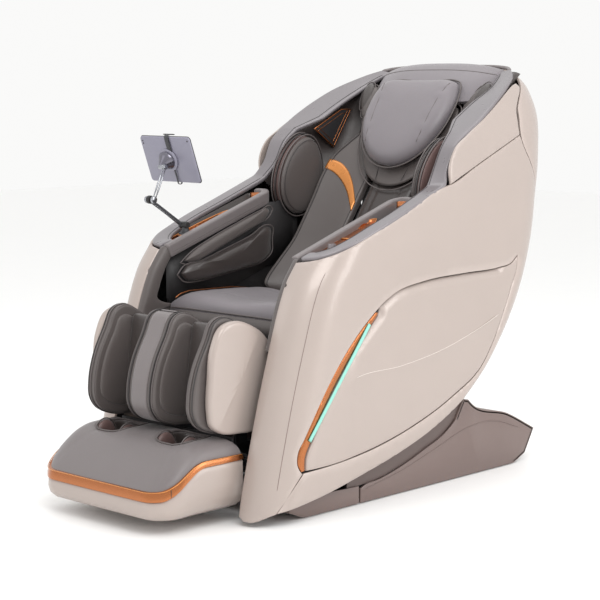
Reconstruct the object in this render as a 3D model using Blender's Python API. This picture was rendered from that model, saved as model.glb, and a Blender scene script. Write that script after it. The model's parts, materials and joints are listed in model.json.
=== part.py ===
# Reclining massage chair: shell, upholstery, track, leg rest, tablet arm and base.
# Metres.  +Z is up, the sitter faces -Y, +X is the sitter's left.
import math

import bmesh
import bpy
from mathutils import Vector
from mathutils import geometry

for old in list(bpy.data.objects):
    bpy.data.objects.remove(old)

# Driving dimensions
PANEL = 0.009              # wall of the moulded shells
ROLL_WIDTH = 0.113         # the front edge rolls inward by this much
ROLL_DEPTH = 0.130         # and takes this length of the side to do it
ROLL_POWER = 2.3           # superellipse exponent of the roll
TILT_Y = -0.177            # recline axis, also centre of the rocking underside
TILT_Z = 0.936
RAIL_RADIUS = 0.800        # rolling radius of the two arc rails
ROLLER_RADIUS = 0.022
ROLLER_ANGLES = (-4.0, 14.0)
BACK_Y = 0.352             # a point of the backrest surface
BACK_Z = 0.711
BACK_LEAN = 0.71           # run back per unit of rise
ARM_Y = -0.246             # front end of the armrest
ARM_Z = 0.700
ARM_SLOPE = 0.337
LEG_Y = -0.335             # hinge line of the leg rest
LEG_Z = 0.470
BASE_HALF = 0.355
CALF_HALF = 0.2185
FOOT_HALF = 0.260

BACK_SIZE = math.hypot(1.0, BACK_LEAN)
BACK_DY = BACK_LEAN / BACK_SIZE
BACK_DZ = 1.0 / BACK_SIZE

# Height tables of the shell: front inner edge, rear face, half width, corner
FRONT_EDGE = [(0.038, -0.470), (0.060, -0.476), (0.230, -0.436), (0.471, -0.365)]
FRONT_EDGE += [(0.625, -0.308), (0.701, -0.254), (0.800, -0.190)]
REAR_FACE = [(0.255, 0.374), (0.329, 0.471), (0.435, 0.575), (0.534, 0.651)]
REAR_FACE += [(0.636, 0.715), (0.727, 0.760), (0.843, 0.776), (0.936, 0.788)]
REAR_FACE += [(1.040, 0.789), (1.121, 0.779), (1.173, 0.769), (1.215, 0.750)]
SIDE_HALF = [(0.0, 0.390), (1.000, 0.390), (1.060, 0.386), (1.110, 0.374)]
SIDE_HALF += [(1.156, 0.348), (1.196, 0.306), (1.215, 0.285)]
CORNER = [(0.255, 0.040), (0.329, 0.050), (0.435, 0.070), (0.534, 0.090)]
CORNER += [(0.636, 0.120), (0.727, 0.150), (1.040, 0.155), (1.121, 0.150)]
CORNER += [(1.173, 0.130), (1.215, 0.110)]
GROOVE_LINE = [(0.321, 0.450), (0.435, 0.558), (0.534, 0.629), (0.636, 0.686)]
GROOVE_LINE += [(0.727, 0.722), (0.820, 0.722), (0.880, 0.692), (0.930, 0.652)]
GROOVE_LINE += [(1.017, 0.597), (1.050, 0.593), (1.090, 0.593), (1.120, 0.611)]
GROOVE_LINE += [(1.150, 0.643), (1.176, 0.678), (1.200, 0.735)]


def table(rows, key):
    """Straight-line reading of a table of (key, value) rows."""
    if key <= rows[0][0]:
        return rows[0][1]
    for (k0, v0), (k1, v1) in zip(rows, rows[1:]):
        if key <= k1:
            return v0 + (v1 - v0) * (key - k0) / (k1 - k0)
    return rows[-1][1]


def shell_point(w, z):
    """Outer surface of the shell; w is Y on the flat side and arc length behind."""
    half = table(SIDE_HALF, z)
    front = table(FRONT_EDGE, z)
    rear = table(REAR_FACE, z)
    radius = table(CORNER, z)
    edge = w - front
    if edge < ROLL_DEPTH:
        away = min(1.0, max(0.0, (ROLL_DEPTH - edge) / ROLL_DEPTH))
        side = (1.0 - away ** ROLL_POWER) ** (1.0 / ROLL_POWER)
        return Vector((half - ROLL_WIDTH * (1.0 - side), w, z))
    start = rear - radius
    if w <= start:
        return Vector((half, w, z))
    angle = min((w - start) / radius, math.pi / 2)
    x = half - radius + radius * math.cos(angle)
    return Vector((x, start + radius * math.sin(angle), z))


def shell_normal(w, z):
    """Outward normal of the shell, by small steps."""
    step = 0.002
    front = table(FRONT_EDGE, z)
    w = max(w, front + step)
    along = shell_point(w + step, z) - shell_point(w - step, z)
    up = shell_point(w, z + step) - shell_point(w, z - step)
    normal = along.cross(up)
    normal.normalize()
    return normal


def material(name, colour, roughness, metallic=0.0):
    made = bpy.data.materials.new(name)
    made.use_nodes = True
    shader = made.node_tree.nodes["Principled BSDF"]
    shader.inputs["Base Color"].default_value = (colour[0], colour[1], colour[2], 1.0)
    shader.inputs["Roughness"].default_value = roughness
    shader.inputs["Metallic"].default_value = metallic
    return made


def make(name, verts, faces, paint, smooth=False, bevel=0.0, segments=2):
    """One closed body from points and faces, with its own material."""
    mesh = bpy.data.meshes.new(name)
    bm = bmesh.new()
    points = [bm.verts.new(v) for v in verts]
    for face in faces:
        bm.faces.new([points[i] for i in face])
    bmesh.ops.recalc_face_normals(bm, faces=bm.faces)
    for face in bm.faces:
        face.smooth = smooth
    bm.to_mesh(mesh)
    bm.free()
    body = bpy.data.objects.new(name, mesh)
    bpy.context.scene.collection.objects.link(body)
    mesh.materials.append(material(name, *paint))
    if bevel:
        rounding = body.modifiers.new("rounding", "BEVEL")
        rounding.width = bevel
        rounding.segments = segments
        rounding.limit_method = "ANGLE"
        rounding.angle_limit = math.radians(35)
    return body


def prism(outline, start, end, axis):
    """Points and faces of an outline swept along one axis."""
    count = len(outline)
    verts = []
    for level in (start, end):
        for a, b in outline:
            if axis == "x":
                verts.append((level, a, b))
            elif axis == "y":
                verts.append((a, level, b))
            else:
                verts.append((a, b, level))
    faces = [list(range(count)), list(range(2 * count - 1, count - 1, -1))]
    for i in range(count):
        j = (i + 1) % count
        faces.append([i, j, count + j, count + i])
    return verts, faces


def block(x0, x1, y0, y1, z0, z1):
    return prism([(y0, z0), (y1, z0), (y1, z1), (y0, z1)], x0, x1, "x")


def rod(start, end, radius, sides=16, tip=None):
    """A round bar between two points; tip gives the far end another radius."""
    start = Vector(start)
    end = Vector(end)
    axis = (end - start).normalized()
    helper = Vector((1, 0, 0)) if abs(axis.x) < 0.9 else Vector((0, 1, 0))
    u = axis.cross(helper).normalized()
    v = axis.cross(u)
    verts = []
    for centre, size in ((start, radius), (end, radius if tip is None else tip)):
        for i in range(sides):
            angle = 2 * math.pi * i / sides
            verts.append(centre + u * size * math.cos(angle) + v * size * math.sin(angle))
    faces = [list(range(sides)), list(range(2 * sides - 1, sides - 1, -1))]
    for i in range(sides):
        j = (i + 1) % sides
        faces.append([i, j, sides + j, sides + i])
    return verts, faces


def loft(rings):
    """Rings with equal counts, skinned and capped at both ends."""
    count = len(rings[0])
    verts = [point for ring in rings for point in ring]
    faces = [list(range(count))]
    last = (len(rings) - 1) * count
    faces.append(list(range(last + count - 1, last - 1, -1)))
    for level in range(len(rings) - 1):
        base = level * count
        for i in range(count):
            j = (i + 1) % count
            faces.append([base + i, base + j, base + count + j, base + count + i])
    return verts, faces


def fuse(name, shapes, paint, cuts=(), smooth=False, bevel=0.0):
    """Several closed shapes joined into one body, then cut by others."""
    body = make(name, shapes[0][0], shapes[0][1], paint, smooth)
    helpers = []
    for mode, group in (("UNION", shapes[1:]), ("DIFFERENCE", cuts)):
        for shape in group:
            helper = make(name + "_tool", shape[0], shape[1], paint, smooth)
            helpers.append(helper)
            step = body.modifiers.new("join", "BOOLEAN")
            step.operation = mode
            step.solver = "EXACT"
            step.object = helper
    graph = bpy.context.evaluated_depsgraph_get()
    joined = bpy.data.meshes.new_from_object(body.evaluated_get(graph))
    body.modifiers.clear()
    body.data = joined
    for helper in helpers:
        bpy.data.objects.remove(helper)
    joined.materials.clear()
    joined.materials.append(material(name, *paint))
    if bevel:
        rounding = body.modifiers.new("rounding", "BEVEL")
        rounding.width = bevel
        rounding.segments = 2
        rounding.limit_method = "ANGLE"
        rounding.angle_limit = math.radians(35)
    return body


def mirrored(shape, side):
    """The same shape, on the left (+1) or on the right (-1)."""
    return [(side * v[0], v[1], v[2]) for v in shape[0]], shape[1]


def inside(point, outline):
    x, y = point
    hit = False
    for (x0, y0), (x1, y1) in zip(outline, outline[1:] + outline[:1]):
        if (y0 > y) != (y1 > y):
            if x < x0 + (x1 - x0) * (y - y0) / (y1 - y0):
                hit = not hit
    return hit


def near_edge(point, outline, limit):
    p = Vector(point)
    for a, b in zip(outline, outline[1:] + outline[:1]):
        a = Vector(a)
        b = Vector(b)
        t = max(0.0, min(1.0, (p - a).dot(b - a) / max((b - a).length_squared, 1e-12)))
        if (a + (b - a) * t - p).length < limit:
            return True
    return False


def dense(outline, step):
    """The outline with extra points, so that no side is longer than a step."""
    made = []
    for (a0, b0), (a1, b1) in zip(outline, outline[1:] + outline[:1]):
        parts = max(1, math.ceil(math.hypot(a1 - a0, b1 - b0) / step))
        for i in range(parts):
            t = i / parts
            made.append((a0 + (a1 - a0) * t, b0 + (b1 - b0) * t))
    return made


def inset(outline, distance):
    """The outline moved inward, for a joint gap."""
    area = 0.0
    for (a0, b0), (a1, b1) in zip(outline, outline[1:] + outline[:1]):
        area += a0 * b1 - a1 * b0
    turn = 1.0 if area > 0 else -1.0
    made = []
    count = len(outline)
    for i in range(count):
        p = Vector(outline[i])
        back = (p - Vector(outline[i - 1])).normalized()
        ahead = (Vector(outline[(i + 1) % count]) - p).normalized()
        first = Vector((-back.y, back.x)) * turn
        second = Vector((-ahead.y, ahead.x)) * turn
        middle = (first + second).normalized()
        reach = distance / max(0.4, middle.dot(first))
        q = p + middle * reach
        made.append((q.x, q.y))
    return made


def sheet(name, outline, paint, side, hole=None, step=0.06, wall=PANEL, proud=0.0):
    """A shell panel: outline on the unrolled side, wrapped on the shell."""
    outer = dense(outline, step)
    inner = dense(hole, step) if hole else []
    points = outer + inner
    edges = [(i, (i + 1) % len(outer)) for i in range(len(outer))]
    shift = len(outer)
    edges += [(shift + i, shift + (i + 1) % len(inner)) for i in range(len(inner))]
    lows = [min(p[k] for p in outer) for k in (0, 1)]
    highs = [max(p[k] for p in outer) for k in (0, 1)]
    level = lows[1] + step / 2
    while level < highs[1]:
        front = table(FRONT_EDGE, level)
        start = table(REAR_FACE, level) - table(CORNER, level)
        columns = [front + ROLL_DEPTH * k for k in (0.035, 0.11, 0.25, 0.48, 0.76)]
        columns += [start + table(CORNER, level) * k for k in (0.1, 0.35, 0.6)]
        for w in columns:
            if lows[0] < w < highs[0] and inside((w, level), outer):
                if hole and inside((w, level), inner):
                    continue
                if near_edge((w, level), outer, 0.004):
                    continue
                if hole and near_edge((w, level), inner, 0.006):
                    continue
                points.append((w, level))
        level += step
    vectors = [Vector(p) for p in points]
    result = geometry.delaunay_2d_cdt(vectors, edges, [], 0, 1e-6)
    flat = result[0]
    count = len(flat)
    verts = []
    for p in flat:
        verts.append(shell_point(p.x, p.y) + shell_normal(p.x, p.y) * proud)
    for p in flat:
        verts.append(shell_point(p.x, p.y) + shell_normal(p.x, p.y) * (proud - wall))
    verts = [(side * v.x, v.y, v.z) for v in verts]
    faces = []
    used = {}
    for face in result[2]:
        middle = sum((flat[i] for i in face), Vector((0, 0))) / len(face)
        if not inside(middle, outer):
            continue
        if hole and inside(middle, inner):
            continue
        faces.append(list(face))
        faces.append([count + i for i in reversed(face)])
        for a, b in zip(face, face[1:] + face[:1]):
            used[(a, b)] = True
    for a, b in list(used):
        if (b, a) not in used:
            faces.append([b, a, count + a, count + b])
    keep = sorted({i for face in faces for i in face})
    order = {old: new for new, old in enumerate(keep)}
    verts = [verts[i] for i in keep]
    faces = [[order[i] for i in face] for face in faces]
    return make(name, verts, faces, paint, smooth=False)


def back_line(z, depth=0.0):
    """Y and Z at a height up the backrest, a depth behind its surface."""
    y = BACK_Y + (z - BACK_Z) * BACK_LEAN
    return y + depth * BACK_DZ, z - depth * BACK_DY


def arm_top(y):
    return ARM_Z + ARM_SLOPE * (y - ARM_Y)


def sheared(outline, y0, y1):
    """An armrest section in X and Z, swept along the sloping arm."""
    rings = []
    for y in (y0, y1):
        rings.append([(x, y, arm_top(y) + z) for x, z in outline])
    return loft(rings)


def arc(radius, start, end, steps, centre=(TILT_Y, TILT_Z)):
    """Points below the recline axis; angles from straight down, rear positive."""
    made = []
    for i in range(steps + 1):
        angle = math.radians(start + (end - start) * i / steps)
        made.append((centre[0] + radius * math.sin(angle), centre[1] - radius * math.cos(angle)))
    return made


BEIGE = ((0.58, 0.49, 0.41), 0.35, 0.25)
GRAY = ((0.18, 0.17, 0.17), 0.6)
RAIL = ((0.26, 0.25, 0.26), 0.45)
MAUVE = ((0.19, 0.15, 0.14), 0.45)
DARK = ((0.03, 0.03, 0.03), 0.6)
COPPER = ((0.60, 0.26, 0.09), 0.3, 0.9)
STEEL = ((0.30, 0.31, 0.33), 0.4, 0.9)
SIDES = (("left", 1), ("right", -1))

# ---- Base -------------------------------------------------------------------
ladder = [block(s * 0.268, s * 0.308, -0.292, 0.560, 0.0, 0.034) for s in (-1, 1)]
ladder += [block(-0.290, 0.290, y, y + 0.050, 0.0, 0.034) for y in (-0.292, -0.025, 0.480)]
ladder += [block(s * 0.284, s * 0.292, 0.550, 0.616, 0.014, 0.046) for s in (-1, 1)]
fuse("base_frame", ladder, STEEL, [rod((-0.30, 0.600, 0.030), (0.30, 0.600, 0.030), 0.0070)])

front_outer = [(-0.307, 0.003), (-0.086, 0.003), (-0.086, 0.052), (-0.330, 0.052)]
front_outer += [(-0.367, 0.046), (-0.367, 0.026)]
front_inner = [(-0.301, -0.020), (-0.060, -0.020), (-0.060, 0.080), (-0.361, 0.080)]
front_inner += [(-0.361, 0.028), (-0.301, 0.002)]
fuse("base_front_cover", [prism(front_outer, -BASE_HALF, BASE_HALF, "x")], MAUVE,
     [prism(front_inner, -BASE_HALF + 0.004, BASE_HALF - 0.004, "x")])

rear_outer = [(-0.080, 0.003), (0.635, 0.003), (0.691, 0.026), (0.736, 0.099)]
rear_outer += [(0.599, 0.164), (0.419, 0.219), (0.404, 0.232), (0.380, 0.237)]
rear_outer += [(0.345, 0.182), (0.300, 0.150), (0.200, 0.112), (0.100, 0.080)]
rear_outer += [(0.000, 0.058), (-0.080, 0.050)]
rear_inner = [(-0.120, -0.020), (0.632, -0.020), (0.632, 0.008), (0.687, 0.030)]
rear_inner += [(0.729, 0.098), (0.598, 0.159), (0.414, 0.213), (0.401, 0.226)]
rear_inner += [(0.384, 0.229), (0.352, 0.180), (0.344, 0.170), (0.338, 0.300)]
rear_inner += [(-0.120, 0.300)]
fuse("base_rear_cover", [prism(rear_outer, -BASE_HALF, BASE_HALF, "x")], MAUVE,
     [prism(rear_inner, -BASE_HALF + 0.004, BASE_HALF - 0.004, "x")])

wheels = [rod((-0.305, 0.600, 0.030), (0.305, 0.600, 0.030), 0.006)]
for s in (-1, 1):
    wheels.append(rod((s * 0.318, 0.600, 0.030), (s * 0.340, 0.600, 0.030), 0.026, 24))
    wheels.append(rod((s * 0.300, 0.600, 0.030), (s * 0.325, 0.600, 0.030), 0.008))
fuse("transport_wheels", wheels, DARK)

slope = math.atan2(0.164 - 0.099, 0.736 - 0.599)


def on_slope(along, proud):
    """A point above the sloping rear top of the base."""
    y = 0.599 + along * math.cos(slope) + proud * math.sin(slope)
    return y, 0.164 - along * math.sin(slope) + proud * math.cos(slope)


plate = [on_slope(0.040, 0.0004), on_slope(0.112, 0.0004), on_slope(0.112, 0.004)]
plate += [on_slope(0.040, 0.004)]
socket = [on_slope(0.050, -0.010), on_slope(0.080, -0.010), on_slope(0.080, 0.020)]
socket += [on_slope(0.050, 0.020)]
pocket = [on_slope(0.0850, -0.002), on_slope(0.1070, -0.002), on_slope(0.1070, 0.020)]
pocket += [on_slope(0.0850, 0.020)]
fuse("power_inlet", [prism(plate, 0.190, 0.250, "x")], DARK,
     [prism(socket, 0.197, 0.222, "x"), prism(pocket, 0.2265, 0.2445, "x")])
rocker = [on_slope(0.0865, 0.0024), on_slope(0.1055, 0.0024), on_slope(0.1055, 0.0065)]
rocker += [on_slope(0.0960, 0.0050), on_slope(0.0865, 0.0080)]
make("power_switch", *prism(rocker, 0.2275, 0.2435, "x"), ((0.5, 0.05, 0.04), 0.4))

# ---- Carriage that rolls the chair forward as it reclines ----------------------
roller_axes = []
for degrees in ROLLER_ANGLES:
    reach = RAIL_RADIUS + ROLLER_RADIUS + 0.0006
    angle = math.radians(degrees)
    roller_axes.append((TILT_Y + reach * math.sin(angle), TILT_Z - reach * math.cos(angle)))
beam = [(-0.256, 0.036), (0.130, 0.036), (0.130, 0.080), (-0.256, 0.066)]
posts = []
for y, z in roller_axes:
    posts.append([(y - 0.028, 0.050), (y + 0.028, 0.050), (y + 0.018, z + 0.014)])
    posts[-1].append((y - 0.018, z + 0.014))
trolley = [block(-0.235, 0.235, -0.256, -0.236, 0.036, 0.062)]
for s in (-1, 1):
    trolley.append(prism(beam, s * 0.224, s * 0.250, "x"))
    trolley += [prism(post, s * 0.2245, s * 0.2335, "x") for post in posts]
trolley.append(block(-0.235, 0.235, -0.120, -0.080, 0.036, 0.060))
trolley.append(block(-0.235, 0.235, 0.070, 0.100, 0.036, 0.072))
bores = [rod((-0.3, y, z), (0.3, y, z), 0.0088, 20) for y, z in roller_axes]
fuse("carriage_frame", trolley, STEEL, bores)
for word, (y, z) in zip(("front", "rear"), roller_axes):
    shaft = [rod((-0.240, y, z), (0.240, y, z), 0.0075)]
    for s in (-1, 1):
        shaft.append(rod((s * 0.188, y, z), (s * 0.218, y, z), ROLLER_RADIUS, 24))
    fuse(word + "_roller_shaft", shaft, STEEL)

# ---- Seat frame: arc rails, pan, back uprights, leg hinge lugs -------------------
band = arc(RAIL_RADIUS, -8, 42, 14) + arc(RAIL_RADIUS - 0.025, 42, -8, 14)
web = arc(RAIL_RADIUS - 0.010, -7, 41, 14) + [(0.240, 0.468), (-0.250, 0.468)]
window = arc(RAIL_RADIUS - 0.060, -4, 34, 10) + [(0.120, 0.415), (-0.200, 0.415)]
frame = [block(-0.240, 0.240, -0.255, 0.120, 0.455, 0.468)]
cuts = []
upright = [back_line(0.560, 0.120), back_line(1.060, 0.120), back_line(1.060, 0.165)]
upright += [back_line(0.500, 0.165), (0.230, 0.405), (0.190, 0.440)]
lug = [(-0.250, 0.468), (-0.320, 0.490), (-0.350, 0.485), (-0.352, 0.455), (-0.250, 0.420)]
for s in (-1, 1):
    frame.append(prism(band, s * 0.190, s * 0.216, "x"))
    frame.append(prism(web, s * 0.199, s * 0.205, "x"))
    frame.append(prism(upright, s * 0.190, s * 0.206, "x"))
    frame.append(prism(lug, s * 0.180, s * 0.188, "x"))
    frame.append(block(s * 0.180, s * 0.210, -0.256, -0.240, 0.425, 0.468))
    cuts.append(prism(window, s * 0.195, s * 0.210, "x"))
    cuts.append(rod((s * 0.17, LEG_Y, LEG_Z), (s * 0.195, LEG_Y, LEG_Z), 0.0115, 20))
frame.append(prism([back_line(1.030, 0.145), back_line(1.055, 0.145),
                    back_line(1.055, 0.164), back_line(1.030, 0.164)], -0.20, 0.20, "x"))
frame.append(prism([back_line(0.600, 0.145), back_line(0.625, 0.145),
                    back_line(0.625, 0.164), back_line(0.600, 0.164)], -0.20, 0.20, "x"))
frame.append(rod((-0.203, 0.105, 0.222), (0.203, 0.105, 0.222), 0.010))
fuse("seat_frame", frame, STEEL, cuts)

make("air_pump", *block(0.055, 0.165, -0.140, 0.050, 0.335, 0.4545), DARK, bevel=0.006)

# ---- Shells ------------------------------------------------------------------
rail_top = [(-0.252, 0.700), (-0.240, 0.706), (-0.195, 0.722), (-0.120, 0.748)]
rail_top += [(-0.049, 0.775), (0.064, 0.816), (0.241, 0.883)]
side_top = [(y, z - 0.0175) for y, z in rail_top[1:]]
wing_line = [(0.265, 0.8745), (0.391, 0.930), (0.594, 1.014)]
front_side = [(table(FRONT_EDGE, z), z) for z in (0.060, 0.230, 0.350, 0.471, 0.560, 0.625, 0.680)]
rear_side = [(w, z) for z, w in GROOVE_LINE if z < 1.0]
under = [(0.350, 0.255), (0.226, 0.192), (0.055, 0.134), (-0.108, 0.095)]
under += [(-0.264, 0.063), (-0.400, 0.043), (-0.460, 0.042)]
side_outline = front_side + side_top + wing_line + rear_side[::-1] + under

light_front = [(-0.352, 0.139), (-0.364, 0.160), (-0.362, 0.190), (-0.339, 0.227)]
light_front += [(-0.111, 0.502), (-0.055, 0.544)]
light_back = [(-0.040, 0.540), (-0.060, 0.520), (-0.087, 0.496), (-0.316, 0.214)]
light_back += [(-0.336, 0.175), (-0.337, 0.141)]
leaf_front = [(-0.334, 0.141), (-0.333, 0.174), (-0.313, 0.212), (-0.084, 0.493)]
leaf_front += [(-0.057, 0.517), (-0.033, 0.537)]
leaf_top = [(-0.033, 0.556), (0.033, 0.590), (0.150, 0.610), (0.343, 0.619)]
leaf_top += [(0.500, 0.623), (0.560, 0.632), (0.590, 0.652)]
leaf_rear = [(0.588, 0.620), (0.565, 0.570), (0.520, 0.480), (0.470, 0.395)]
leaf_rear += [(0.420, 0.335), (0.278, 0.259), (0.105, 0.199), (-0.092, 0.157)]
leaf_rear += [(-0.249, 0.142)]
light_outline = light_front + light_back
leaf_outline = leaf_front[:-1] + [(-0.036, 0.538)] + leaf_top + leaf_rear
opening = light_front[1:] + [(-0.045, 0.551)] + leaf_top[1:] + leaf_rear + [(-0.352, 0.138)]
opening = inset(opening, -0.0016)
wing_outline = [(0.268, 0.8805), (0.268, 0.925), (0.299, 0.980), (0.346, 1.010)]
wing_outline += [(0.420, 1.052), (0.489, 1.091), (0.573, 1.135), (0.625, 1.156)]
wing_outline += [(0.636, 1.160), (0.641, 1.154), (0.630, 1.144), (0.604, 1.120)]
wing_outline += [(0.587, 1.090), (0.587, 1.050), (0.592, 1.017), (0.391, 0.935)]

rail_outer = [(0.283, -0.252, 0.700), (0.330, -0.240, 0.706), (0.366, -0.195, 0.722)]
rail_outer += [(0.384, -0.120, 0.748), (0.3895, -0.049, 0.775), (0.3895, 0.064, 0.816)]
rail_outer += [(0.388, 0.241, 0.883), (0.372, 0.266, 0.927), (0.374, 0.297, 0.987)]
rail_outer += [(0.380, 0.344, 1.026), (0.380, 0.418, 1.071), (0.369, 0.487, 1.111)]
rail_outer += [(0.345, 0.573, 1.156), (0.300, 0.668, 1.196), (0.262, 0.712, 1.214)]
rail_inner = [(0.277, -0.205, 0.713), (0.300, -0.195, 0.716), (0.322, -0.165, 0.727)]
rail_inner += [(0.334, -0.110, 0.749), (0.338, -0.049, 0.773), (0.338, 0.064, 0.813)]
rail_inner += [(0.330, 0.225, 0.876), (0.316, 0.270, 0.927), (0.314, 0.306, 0.987)]
rail_inner += [(0.306, 0.352, 1.030), (0.262, 0.425, 1.064), (0.257, 0.515, 1.111)]
rail_inner += [(0.254, 0.612, 1.155), (0.240, 0.672, 1.187), (0.223, 0.712, 1.206)]

for word, side in SIDES:
    sheet("side_panel_" + word, side_outline, BEIGE, side, hole=opening)
    sheet("leaf_panel_" + word, inset(leaf_outline, 0.0006), BEIGE, side, wall=0.006)
    sheet("led_strip_" + word, inset(light_outline, 0.0008), COPPER, side, wall=0.012)
    sheet("wing_panel_" + word, wing_outline, BEIGE, side)
    rings = []
    for i, (outer, inner) in enumerate(zip(rail_outer, rail_inner)):
        outer = Vector(outer)
        inner = Vector(inner)
        ahead = Vector(rail_outer[min(i + 1, len(rail_outer) - 1)])
        ahead = ahead - Vector(rail_outer[max(i - 1, 0)])
        under_rail = ahead.cross(inner - outer).normalized() * 0.012
        if under_rail.z > 0:
            under_rail = -under_rail
        ring = [outer, inner, inner + under_rail, outer + under_rail]
        rings.append([(side * p.x, p.y, p.z) for p in ring])
    make("rim_rail_" + word, *loft(rings), RAIL)

cover_rows = [0.330, 0.382, 0.435, 0.484, 0.534, 0.585, 0.636, 0.682, 0.727, 0.774, 0.820]
cover_rows += [0.880, 0.930, 0.974, 1.017, 1.050, 1.090, 1.120, 1.150, 1.176, 1.198]


def cover_row(z, depth):
    """Plan line of the back cover at one height, from the left to the right."""
    rear = table(REAR_FACE, z) - depth
    half = table(SIDE_HALF, z) - depth
    radius = max(0.02, table(CORNER, z) - depth)
    start = rear - radius
    first = (table(GROOVE_LINE, z) + 0.004 - (table(REAR_FACE, z) - table(CORNER, z)))
    first = max(0.0, first / table(CORNER, z))
    bulge = 0.012 * min(1.0, max(0.0, (z - 0.30) / 0.45))
    line = []
    for i in range(6):
        angle = first + (math.pi / 2 - first) * i / 5
        x = half - radius + radius * math.cos(angle)
        line.append([x, start + radius * math.sin(angle)])
    flat = line[-1][0]
    for k in (0.75, 0.5, 0.25, 0.0):
        line.append([flat * k, rear])
    for point in line:
        spread = min(1.0, abs(point[0]) / max(0.2, table(SIDE_HALF, z)))
        point[1] += bulge * (1 - spread ** 2)
    right = [[-x, y] for x, y in line[:-1]]
    return [(x, y, z) for x, y in line + right[::-1]]


rings = []
for z in cover_rows:
    rings.append(cover_row(z, 0.0) + cover_row(z, PANEL)[::-1])
make("back_cover", *loft(rings), BEIGE)

crest = [(0.628, 1.182), (0.662, 1.214), (0.708, 1.236), (0.738, 1.226), (0.752, 1.182)]
make("top_cap", *prism(crest, -0.214, 0.214, "x"), GRAY, bevel=0.008)

# ---- Armrests, trays, arm and shoulder air pads, speakers ---------------------------
arm_section = [(0.250, 0.0), (0.266, 0.0), (0.266, -0.028), (0.326, -0.028)]
arm_section += [(0.326, -0.036), (0.272, -0.036), (0.272, -0.200), (0.266, -0.200)]
arm_section += [(0.266, -0.036), (0.250, -0.036)]
tray_section = [(0.2675, -0.014), (0.270, -0.014), (0.271, -0.024), (0.322, -0.024)]
tray_section += [(0.323, -0.014), (0.3255, -0.014), (0.3255, -0.0275), (0.2675, -0.0275)]
pad_outline = [(-0.208, 0.669), (0.160, 0.785), (0.172, 0.775), (0.172, 0.640)]
pad_outline += [(0.150, 0.625), (-0.120, 0.583), (-0.190, 0.592), (-0.215, 0.612)]
pad_outline += [(-0.195, 0.628), (0.060, 0.690), (-0.190, 0.650)]
shoulder = []
for i in range(24):
    a = 2 * math.pi * i / 24
    u = 0.130 * math.cos(a)
    v = 0.092 * math.sin(a)
    shoulder.append((0.325 + 0.342 * u + 0.940 * v, 0.885 + 0.940 * u - 0.342 * v))
speaker_outline = [(0.398, 1.028), (0.505, 1.083), (0.545, 1.083), (0.475, 0.968)]
for word, side in SIDES:
    make("armrest_" + word, *mirrored(sheared(arm_section, -0.245, 0.185), side), GRAY)
    make("arm_tray_" + word, *mirrored(sheared(tray_section, -0.215, 0.060), side), COPPER)
    make("arm_pad_" + word, *mirrored(prism(pad_outline, 0.214, 0.2645, "x"), side), GRAY)
    make("shoulder_pad_" + word, *mirrored(prism(shoulder, 0.2545, 0.304, "x"), side),
         MAUVE, bevel=0.012)
    make("speaker_" + word, *mirrored(prism(speaker_outline, 0.270, 0.284, "x"), side),
         DARK)

# ---- Seat and back upholstery --------------------------------------------------------
seat = [(-0.268, 0.492), (-0.252, 0.525), (-0.238, 0.550), (-0.190, 0.564), (0.000, 0.560)]
seat += [(0.085, 0.545), (0.110, 0.515), (0.200, 0.506), (0.205, 0.4695), (-0.258, 0.4695)]
make("seat_cushion", *prism(seat, -0.249, 0.249, "x"), GRAY, bevel=0.010)

lobe_rows = [(0.525, 0.070), (0.560, 0.112), (0.620, 0.088), (0.700, 0.062)]
lobe_rows += [(0.800, 0.075), (0.885, 0.086), (0.920, 0.060)]
for word, side in SIDES:
    rings = []
    for z, flare in lobe_rows:
        y = back_line(z)[0]
        ring = [(0.108, y), (0.140, y - 0.010), (0.185, y - 0.5 * flare), (0.225, y - flare)]
        ring += [(0.247, y - flare + 0.016), (0.2475, y + 0.035), (0.108, y + 0.040)]
        rings.append([(side * a, b, z) for a, b in ring])
    make("back_lobe_" + word, *loft(rings), GRAY, smooth=False)

centre_rows = [(0.528, 0.092), (0.900, 0.092), (0.945, 0.100), (0.965, 0.200), (1.150, 0.200)]
rings = []
for z, half in centre_rows:
    y, low = back_line(z)
    rear, rear_z = back_line(z, 0.030)
    rings.append([(-half, y, low), (half, y, low), (half, rear, rear_z), (-half, rear, rear_z)])
make("back_center_pad", *loft(rings), GRAY)

# ---- Head pillow, hung from the top -----------------------------------------------------
pillow_half = [(0.917, 0.030), (0.940, 0.080), (0.985, 0.118), (1.050, 0.138), (1.100, 0.138)]
pillow_half += [(1.132, 0.124)]
flap_half = [(0.862, 0.030), (0.890, 0.085), (0.945, 0.125), (1.010, 0.145), (1.140, 0.145)]


def pillow_layer(rows, near, far):
    rings = []
    for z, half in rows:
        y, low = back_line(z)
        lift = near * (1.0 if z > rows[0][0] else 0.75)
        rings.append([(-half, y - far * BACK_DZ, low + far * BACK_DY),
                      (-half * 0.9, y - lift * BACK_DZ, low + lift * BACK_DY),
                      (half * 0.9, y - lift * BACK_DZ, low + lift * BACK_DY),
                      (half, y - far * BACK_DZ, low + far * BACK_DY)])
    return loft(rings)


fuse("head_pillow", [pillow_layer(pillow_half, 0.074, 0.014),
                     pillow_layer(flap_half, 0.020, 0.004)], GRAY)

# ---- Massage track, carriage, arms and rollers ---------------------------------------------


def along_back(t, depth):
    """A point t up the back from its lower end, a depth behind the surface."""
    y, z = back_line(0.560, depth)
    return y + t * BACK_DY, z + t * BACK_DZ


def back_block(x0, x1, t0, t1, near, far):
    outline = [along_back(t0, near), along_back(t1, near), along_back(t1, far)]
    return prism(outline + [along_back(t0, far)], x0, x1, "x")


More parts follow.
